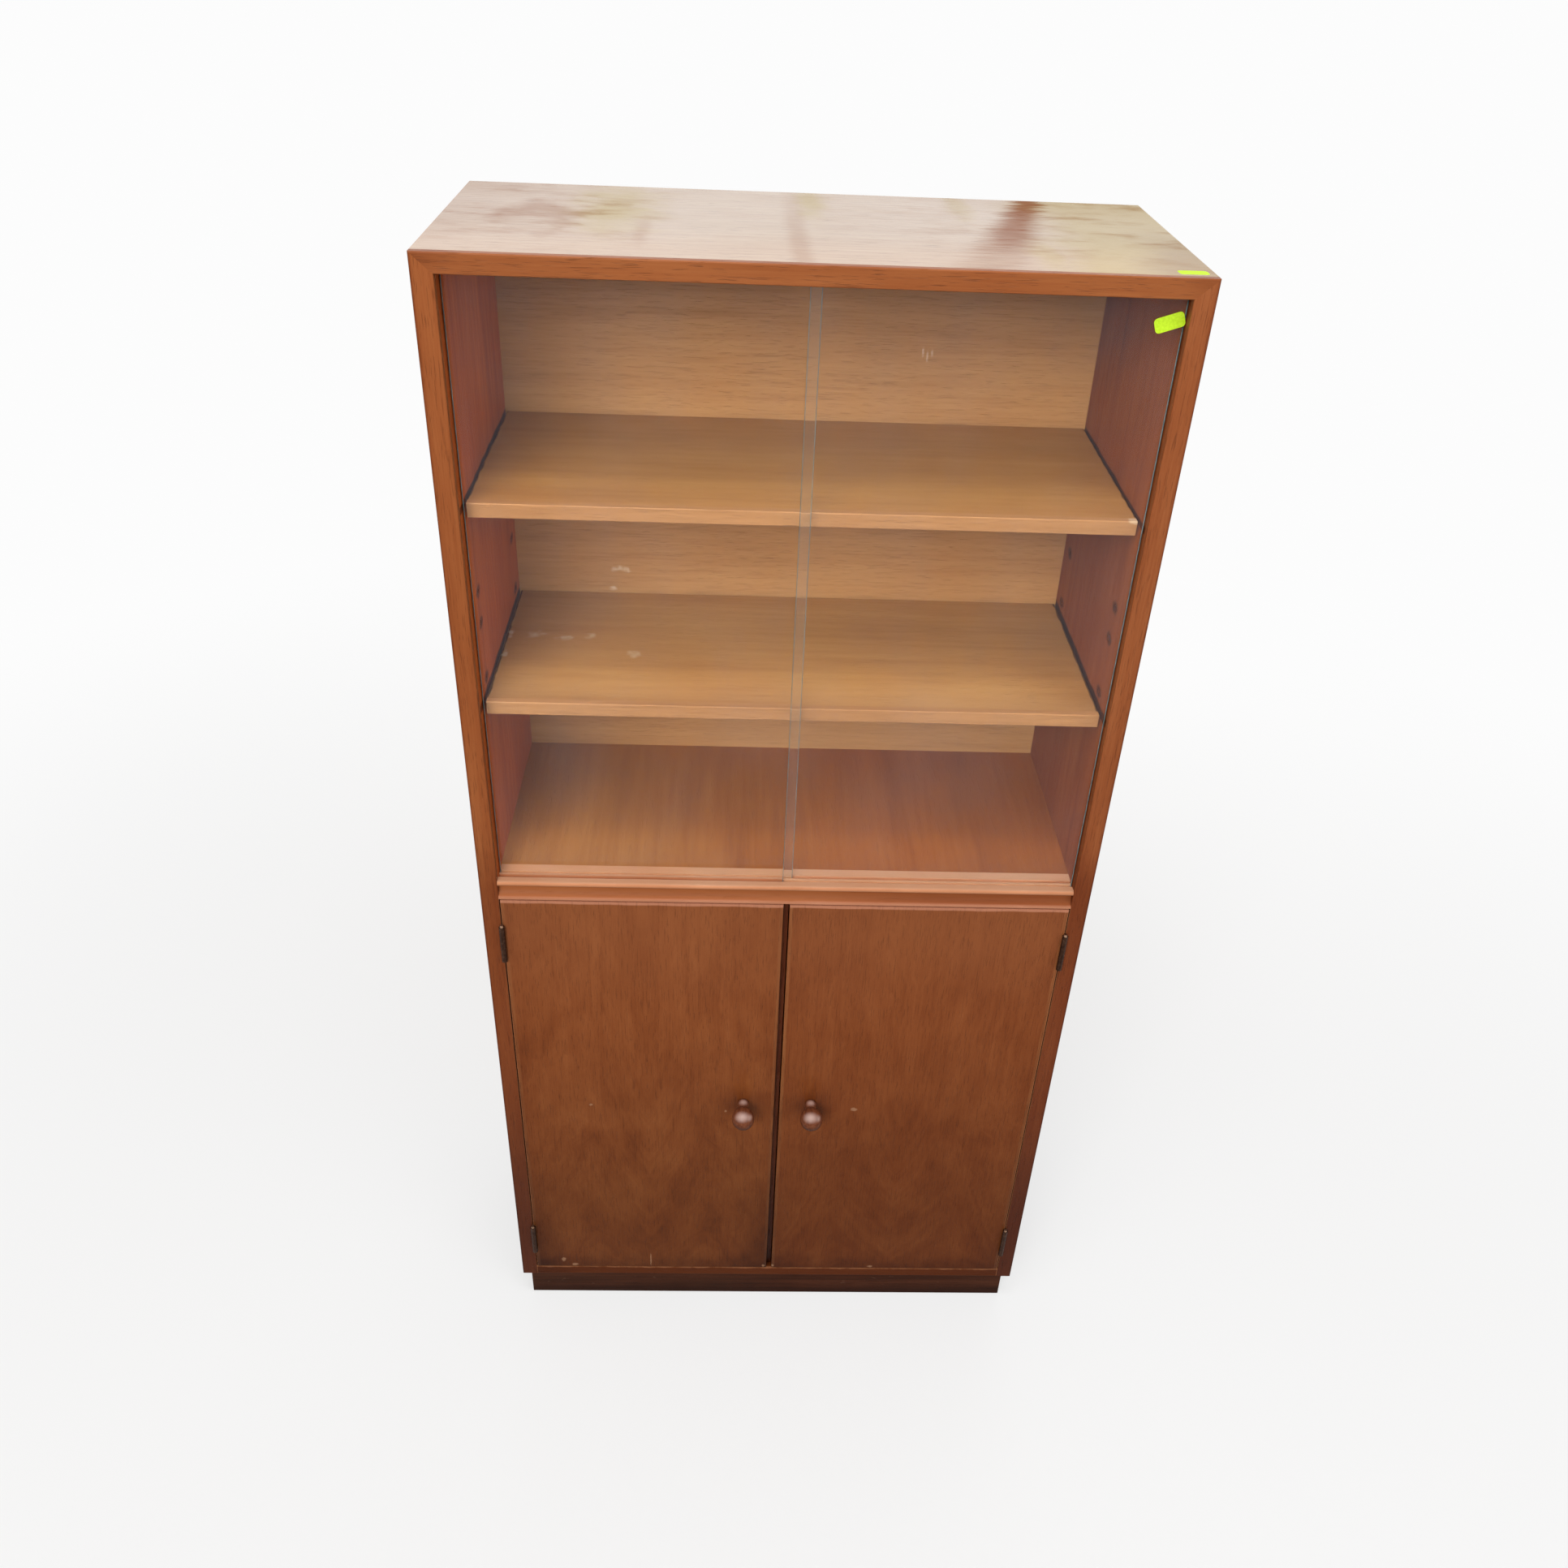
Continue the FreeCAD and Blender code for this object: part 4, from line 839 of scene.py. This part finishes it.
def metalFinish(name, look):
    material, shader, place = newMaterial(name, Metallic=1.0)
    tarnish = cloud(place, look["tarnishScale"], 5, 0.65)
    brush = cloud(place, look["brush"], 3)
    feed(shader.inputs["Base Color"], toneColours(tarnish, look["tones"]))
    rough = plus(tarnish, look["roughSpread"], look["rough"])
    feed(shader.inputs["Roughness"], plus(brush, look["brushRough"], rough))
    relief(shader, calc("ADD", tarnish, brush), look["depth"])
    return material


def catchPlastic():
    material, shader, place = newMaterial("catchPlastic")
    mottle = cloud(place, catch["mottle"], 4, 0.6)
    feed(shader.inputs["Base Color"], toneColours(mottle, catch["tones"]))
    feed(shader.inputs["Roughness"], plus(mottle, catch["mottleRough"], catch["rough"]))
    relief(shader, mottle, catch["depth"])
    return material


def speckled(name, look):
    # one noise sets the tone, the roughness and the relief
    material, shader, place = newMaterial(name, Specular_IOR_Level=look["gloss"])
    specks = cloud(place, look["specks"], 4, 0.6)
    feed(shader.inputs["Base Color"], toneColours(specks, look["tones"]))
    feed(shader.inputs["Roughness"], slide(specks, *look["roughRun"]))
    relief(shader, specks, look["depth"])
    return material


bronzeFinish = metalFinish("hingeBronze", hingeBronze)
pinFinish = metalFinish("hingePinBrass", screwBrass)
steelFinish = metalFinish("dullSteel", dullSteel)
for side in ("left", "right"):
    paintAll([side + "_hinge_frame_leaves", side + "_hinge_door_leaves"], bronzeFinish)
    paintAll([side + "_hinge_pins", side + "_hinge_frame_screws", side + "_hinge_door_screws"], pinFinish)
    paintAll([side + "_knob_screw", side + "_catch_plate"], steelFinish)
paintAll(["plinth_screws", "back_panel_pins"], steelFinish)
paintAll([name + "_shelf_pegs" for name in shelfLooks], metalFinish("pegBrass", pegBrass))
paint("door_catches", catchPlastic())
print("metal and plastic finished")


# New pieces

def deselect():
    bpy.ops.object.select_all(action="DESELECT")


def editAll():
    bpy.ops.object.mode_set(mode="EDIT")
    bpy.ops.mesh.select_mode(type="FACE")
    bpy.ops.mesh.select_all(action="SELECT")


def turnOutward():
    bpy.ops.mesh.select_all(action="SELECT")
    bpy.ops.mesh.normals_make_consistent(inside=False)


def settle(piece, name, angle):
    # out of edit mode, place and size into the mesh, smooth but for its real corners
    bpy.ops.object.mode_set(mode="OBJECT")
    bpy.ops.object.transform_apply()
    bpy.ops.object.shade_smooth_by_angle(angle=math.radians(angle))
    piece.name = name
    piece.data.name = name
    return piece


# Knobs: a flared foot, a neck, a turned line and a ball. The profile is in millimetres, as reach and radius.

knob = {
    "facets": 56, "smooth": 40,
    "foot": [(0.0, 6.2), (1.2, 6.8), (3.0, 7.2), (5.0, 7.25), (7.0, 7.0), (9.0, 6.5), (11.0, 5.8), (12.6, 5.2),
             (13.8, 5.1)],
    "ballCentre": 27.2, "ballLength": 14.8, "ballRadius": 14.0,
    "ballStart": 26.0, "ballEnd": 178.5, "ballRings": 22,
}
knobWood = {
    "streaks": (300, 60, 300), "rub": 180, "roughRun": (0.3, 0.75, 0.36, 0.52), "depth": 0.00008,
    "tones": [(0.3, (0.09, 0.024, 0.011)), (0.5, (0.15, 0.044, 0.019)), (0.72, (0.205, 0.068, 0.03))],
    # painted shade in the crease where the neck meets the ball
    "line": 0.014, "lineShade": (0.0022, 0.0004, 0.62, (0.012, 0.004, 0.003), "MIX"),
    # painted shade on the lower half of the ball
    "underRun": (0.0035, -0.0085), "underReach": (0.012, 0.018), "under": (0.42, 0.4, 0.34),
    "gloss": 0.14, "underGloss": 0.02,
    # painted highlights on the ball and the neck: offset across, reach and up, half-size, share
    "highlightRim": (0.95, 0.04), "highlightTone": (0.6, 0.425, 0.375),
    "paintedHighlights": [((-0.0015, 0.0345, 0.0108), (0.0135, 0.009, 0.0084), 0.72),
               ((0.0085, 0.0335, 0.0085), (0.005, 0.007, 0.005), 0.4),
               ((0.0, 0.0065, 0.0072), (0.009, 0.0062, 0.006), 0.46)],
    # painted shade where the foot of the knob meets the door
    "footShade": (0.0025, 0.0, 0.8, (0.02, 0.007, 0.004), "MIX"),
}


def turnKnob(name, across):
    deselect()
    profile = [(reach / 1000, radius / 1000) for reach, radius in knob["foot"]]
    for ring in range(knob["ballRings"] + 1):
        turned = knob["ballStart"] + (knob["ballEnd"] - knob["ballStart"]) * ring / knob["ballRings"]
        angle = math.radians(turned)
        profile.append(((knob["ballCentre"] - knob["ballLength"] * math.cos(angle)) / 1000,
                        knob["ballRadius"] * math.sin(angle) / 1000))
    bpy.ops.mesh.primitive_circle_add(vertices=knob["facets"], radius=profile[0][1], fill_type="NGON",
                                      location=(across, caseFront, knobHeight),
                                      rotation=(math.radians(90), 0, 0))
    piece = bpy.context.object
    editAll()
    for (lastReach, lastRadius), (reach, radius) in zip(profile, profile[1:]):
        bpy.ops.mesh.extrude_region_move(TRANSFORM_OT_translate={"value": (0, lastReach - reach, 0)})
        bpy.ops.transform.resize(value=(radius / lastRadius, 1, radius / lastRadius),
                                 center_override=(across, caseFront - reach, knobHeight))
    turnOutward()
    return settle(piece, name, knob["smooth"])


def knobFinish(name, across):
    # stained wood under a thick polish, with painted highlights on the ball and the neck, and painted shade in
    # the turned line, under the ball and where the foot meets the door
    look = knobWood
    material, shader, place = newMaterial(name, Coat_IOR=1.3, Coat_Roughness=0.2, Specular_IOR_Level=0.06)
    x, y, z = axes(place)
    streaks = cloud(place, look["streaks"], 4, 0.6)
    colour = toneColours(streaks, look["tones"])
    reach = less(caseFront, y)
    # painted shade in the turned line
    colour = stain(colour, gap(reach, look["line"]), *look["lineShade"])
    # painted shade under the ball
    under = slide(less(z, knobHeight), *look["underRun"])
    under = times(under, slide(reach, *look["underReach"]))
    colour = darken(under, colour, look["under"])
    gloss = plus(under, look["underGloss"] - look["gloss"], look["gloss"])
    feed(shader.inputs["Coat Weight"], gloss)
    # painted highlights on the upper front of the ball and on the neck
    paintedHighlights = [((across + aside, caseFront - out, knobHeight + up), size, share)
              for (aside, out, up), size, share in look["paintedHighlights"]]
    colour = spotted(place, colour, paintedHighlights, *look["highlightRim"], look["highlightTone"])
    # painted shade at the foot
    colour = stain(colour, reach, *look["footShade"])
    feed(shader.inputs["Base Color"], colour)
    feed(shader.inputs["Roughness"], slide(cloud(place, look["rub"], 4, 0.6), *look["roughRun"]))
    relief(shader, streaks, look["depth"])
    return material


leftKnob = turnKnob("leftTurnedKnob", -knobAcross)
deselect()
leftKnob.select_set(True)
bpy.context.view_layer.objects.active = leftKnob
bpy.ops.object.duplicate(linked=False)
rightKnob = bpy.context.object
rightKnob.name = "rightTurnedKnob"
bpy.ops.transform.translate(value=(2 * knobAcross, 0, 0))
bpy.ops.object.transform_apply()
for piece, side, across in ((leftKnob, "left", -knobAcross), (rightKnob, "right", knobAcross)):
    piece.data.materials.clear()
    piece.data.materials.append(knobFinish(side + "KnobWood", across))
    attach(piece, side + "_door")
    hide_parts(side + "_knob")
print("knobs turned")


# Glass panes: clear faces, and ground edges that gather the green of the glass

pane = {
    "arris": 0.0005, "smooth": 20, "clear": (0.975, 0.99, 0.985), "gloss": (0.3, 0.315, 0.34),
    "smears": (9, 9, 5), "smearTurn": (0, 0.5, 0), "filmRun": (0.35, 0.72, 0.0024, 0.0132),
    "film": (0.62, 0.8, 0.98), "meetingRun": (0.0052, 0.0058), "meetingFilm": 0.0045,
    "through": (0.93, 0.95, 0.94),
}
groundGlass = {
    "specks": (700, 700, 90), "gloss": 0.6, "roughRun": (0.3, 0.7, 0.18, 0.36), "depth": 0.00004,
    "tones": [(0.35, (0.112, 0.168, 0.172)), (0.65, (0.14, 0.21, 0.215))],
}


def paneGlass():
    # lamps pass straight through, and a thin film of dust and smears lies on the faces
    material, shader, place = newMaterial("paneGlass", Transmission_Weight=1.0, IOR=1.45, Roughness=0.0,
                                          Base_Color=pane["clear"], Specular_Tint=pane["gloss"])
    tree = material.node_tree
    smears = cloud(mapped(place, pane["smears"], turn=pane["smearTurn"]), 1, 5, 0.62)
    alone = slide(gap(axes(place)[0]), *pane["meetingRun"])
    dust = less(slide(smears, *pane["filmRun"]), pane["meetingFilm"])
    film = add("BsdfDiffuse", {"Color": pane["film"]}, tree)[0]
    share = plus(alone, dust, pane["meetingFilm"])
    dusty = mixShaders(share, shader.outputs[0], film)
    through = add("BsdfTransparent", {"Color": pane["through"]}, tree)[0]
    shadow = add("LightPath", {}, tree)["Is Shadow Ray"]
    feed(tree.nodes["Material Output"].inputs["Surface"], mixShaders(shadow, dusty, through))
    return material


faceGlass = paneGlass()
edgeGlass = speckled("paneEdge", groundGlass)
for side in ("left", "right"):
    low, high = (Vector(corner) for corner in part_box(side + "_glass_pane"))
    deselect()
    bpy.ops.mesh.primitive_cube_add(size=1, location=(low + high) / 2, scale=high - low)
    piece = bpy.context.object
    bpy.ops.object.transform_apply(location=False, rotation=False)
    editAll()
    bpy.ops.mesh.bevel(offset=pane["arris"], segments=1, affect="EDGES")
    settle(piece, side + "GlassSheet", pane["smooth"])
    piece.data.materials.append(faceGlass)
    piece.data.materials.append(edgeGlass)
    for face in piece.data.polygons:
        face.material_index = 0 if abs(face.normal.y) > 0.99 else 1
    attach(piece, side + "_glass")
    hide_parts(side + "_glass_pane")
print("panes cut")


# Blank lot stickers, one on the right pane and one on the top's front edge

sticker = {
    "length": 0.0265, "width": 0.0135, "corner": 0.0035, "thickness": 0.00012, "smooth": 30,
    "specks": 500, "gloss": 0.3, "roughRun": (0.3, 0.7, 0.5, 0.7), "depth": 0.00005,
    "tones": [(0.35, (0.5, 0.8, 0.012)), (0.65, (0.62, 0.92, 0.03))],
}
stickers = {
    "paneSticker": {"centre": (0.3087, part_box("right_glass_pane")[0][1], 1.3759), "turn": (90, -19, 0),
                    "body": "right_glass", "slot": "pane_glass"},
    "topSticker": {"centre": (0.324, -0.11, caseTop - 0.00011), "turn": (0, 0, 2),
                   "body": "case", "slot": "case_lipping"},
}


def cutSticker(name, centre, turn):
    deselect()
    bpy.ops.mesh.primitive_plane_add(size=1, location=centre)
    piece = bpy.context.object
    piece.scale = (sticker["length"], sticker["width"], 1)
    bpy.ops.object.transform_apply(location=False, rotation=False)
    editAll()
    bpy.ops.mesh.bevel(offset=sticker["corner"], segments=4, affect="VERTICES")
    bpy.ops.mesh.select_all(action="SELECT")
    bpy.ops.mesh.extrude_region_move(TRANSFORM_OT_translate={"value": (0, 0, sticker["thickness"])})
    turnOutward()
    bpy.ops.object.mode_set(mode="OBJECT")
    piece.rotation_euler = [math.radians(angle) for angle in turn]
    return settle(piece, name, sticker["smooth"])


paper = speckled("stickerPaper", sticker)
for name, spot in stickers.items():
    piece = cutSticker(name, spot["centre"], spot["turn"])
    piece.data.materials.append(paper)
    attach(piece, spot["body"])
print("stickers laid")


# Floor, light and camera

stage = {
    "size": 160.0, "shown": (0.975, 0.975, 0.975), "matt": (0.8, 0.8, 0.8), "bounce": (0.32, 0.32, 0.32),
    "shadowRun": (0.7, 2.6, 0.66, 1.0), "room": (1.0, 0.985, 0.965), "roomStrength": 0.38,
}
lamps = {
    "key": {"from": (-1.4, -4.6, 3.5), "to": (0.0, -0.1, 0.95), "size": (2.8, 2.0), "power": 182,
            "colour": (1.0, 0.985, 0.96)},
    "fill": {"from": (1.9, -1.7, 1.5), "to": (0.0, 0.0, 0.7), "size": (1.4, 1.8), "power": 12,
             "colour": (0.97, 0.98, 1.0)},
    "overhead": {"from": (-0.1, -0.75, 3.2), "to": (0.0, -0.05, 1.2), "size": (0.9, 0.6), "power": 24,
                 "colour": (1.0, 1.0, 1.0)},
    "window": {"from": (0.35, 2.4, 1.98), "to": (0.0, 0.0, 1.98), "size": (3.0, 1.2), "power": 3.2,
               "colour": (1.0, 0.97, 0.9)},
    "behind": {"from": (0.5, 2.4, 0.75), "to": (0.0, 0.2, 0.75), "size": (2.4, 1.1), "power": 24,
               "colour": (1.0, 1.0, 1.0)},
}
viewpoint = {"from": (-0.0625, -1.308, 1.6908), "yaw": 2.58104, "down": 34.22561, "roll": 2.61808,
             "lens": 30.905, "sensor": 36.0}


def shownRay(tree):
    # 1 for rays from the camera and for what gloss and glass show, but not for light that the object gathers
    path = add("LightPath", {}, tree)
    seen = most(most(path["Is Camera Ray"], path["Is Glossy Ray"]), path["Is Transmission Ray"])
    return times(seen, calc("LESS_THAN", path["Diffuse Depth"], 0.5))


def layFloor():
    deselect()
    bpy.ops.mesh.primitive_plane_add(size=stage["size"], location=(0, 0, 0))
    floor = bpy.context.object
    floor.name = "paleFloor"
    material = bpy.data.materials.new("paleFloor")
    material.use_nodes = True
    tree = material.node_tree
    tree.nodes.clear()
    shown = shownRay(tree)
    matt = add("BsdfDiffuse", {"Color": mixColours(shown, stage["bounce"], stage["matt"])})[0]
    glow = add("Emission", {"Color": stage["shown"]}, tree)[0]
    away = vectorMath("LENGTH", objectPlace(tree))["Value"]
    share = times(shown, slide(away, *stage["shadowRun"]))
    add("OutputMaterial", {"Surface": mixShaders(share, matt, glow)})
    floor.data.materials.append(material)


def hangWorld():
    world = bpy.data.worlds.new("paleRoom")
    world.use_nodes = True
    tree = world.node_tree
    room = tree.nodes["Background"]
    feed(room.inputs["Color"], stage["room"])
    feed(room.inputs["Strength"], stage["roomStrength"])
    seen = add("Background", {"Color": stage["shown"]}, tree)[0]
    feed(tree.nodes["World Output"].inputs["Surface"], mixShaders(shownRay(tree), room.outputs[0], seen))
    scene.world = world


def hangLamps():
    for name, lamp in lamps.items():
        data = bpy.data.lights.new(name, "AREA")
        data.shape = "RECTANGLE"
        data.size, data.size_y = lamp["size"]
        data.energy = lamp["power"]
        data.color = lamp["colour"]
        holder = bpy.data.objects.new(name, data)
        scene.collection.objects.link(holder)
        holder.location = lamp["from"]
        aim = Vector(lamp["to"]) - Vector(lamp["from"])
        holder.rotation_euler = aim.to_track_quat("-Z", "Y").to_euler()


def setCamera():
    yaw, down, roll = (math.radians(viewpoint[name]) for name in ("yaw", "down", "roll"))
    forward = Vector((math.sin(yaw) * math.cos(down), math.cos(yaw) * math.cos(down), -math.sin(down)))
    level = Vector((math.cos(yaw), -math.sin(yaw), 0))
    upright = level.cross(forward)
    right = level * math.cos(roll) + upright * math.sin(roll)
    up = upright * math.cos(roll) - level * math.sin(roll)
    camera = bpy.data.objects.new("camera", bpy.data.cameras.new("camera"))
    scene.collection.objects.link(camera)
    camera.data.lens = viewpoint["lens"]
    camera.data.sensor_width = viewpoint["sensor"]
    turned = Matrix((right, up, -forward)).transposed().to_4x4()
    camera.matrix_world = Matrix.Translation(viewpoint["from"]) @ turned
    scene.camera = camera


layFloor()
hangWorld()
hangLamps()
setCamera()
scene.view_settings.view_transform = "Standard"
print("stage, light and camera set")
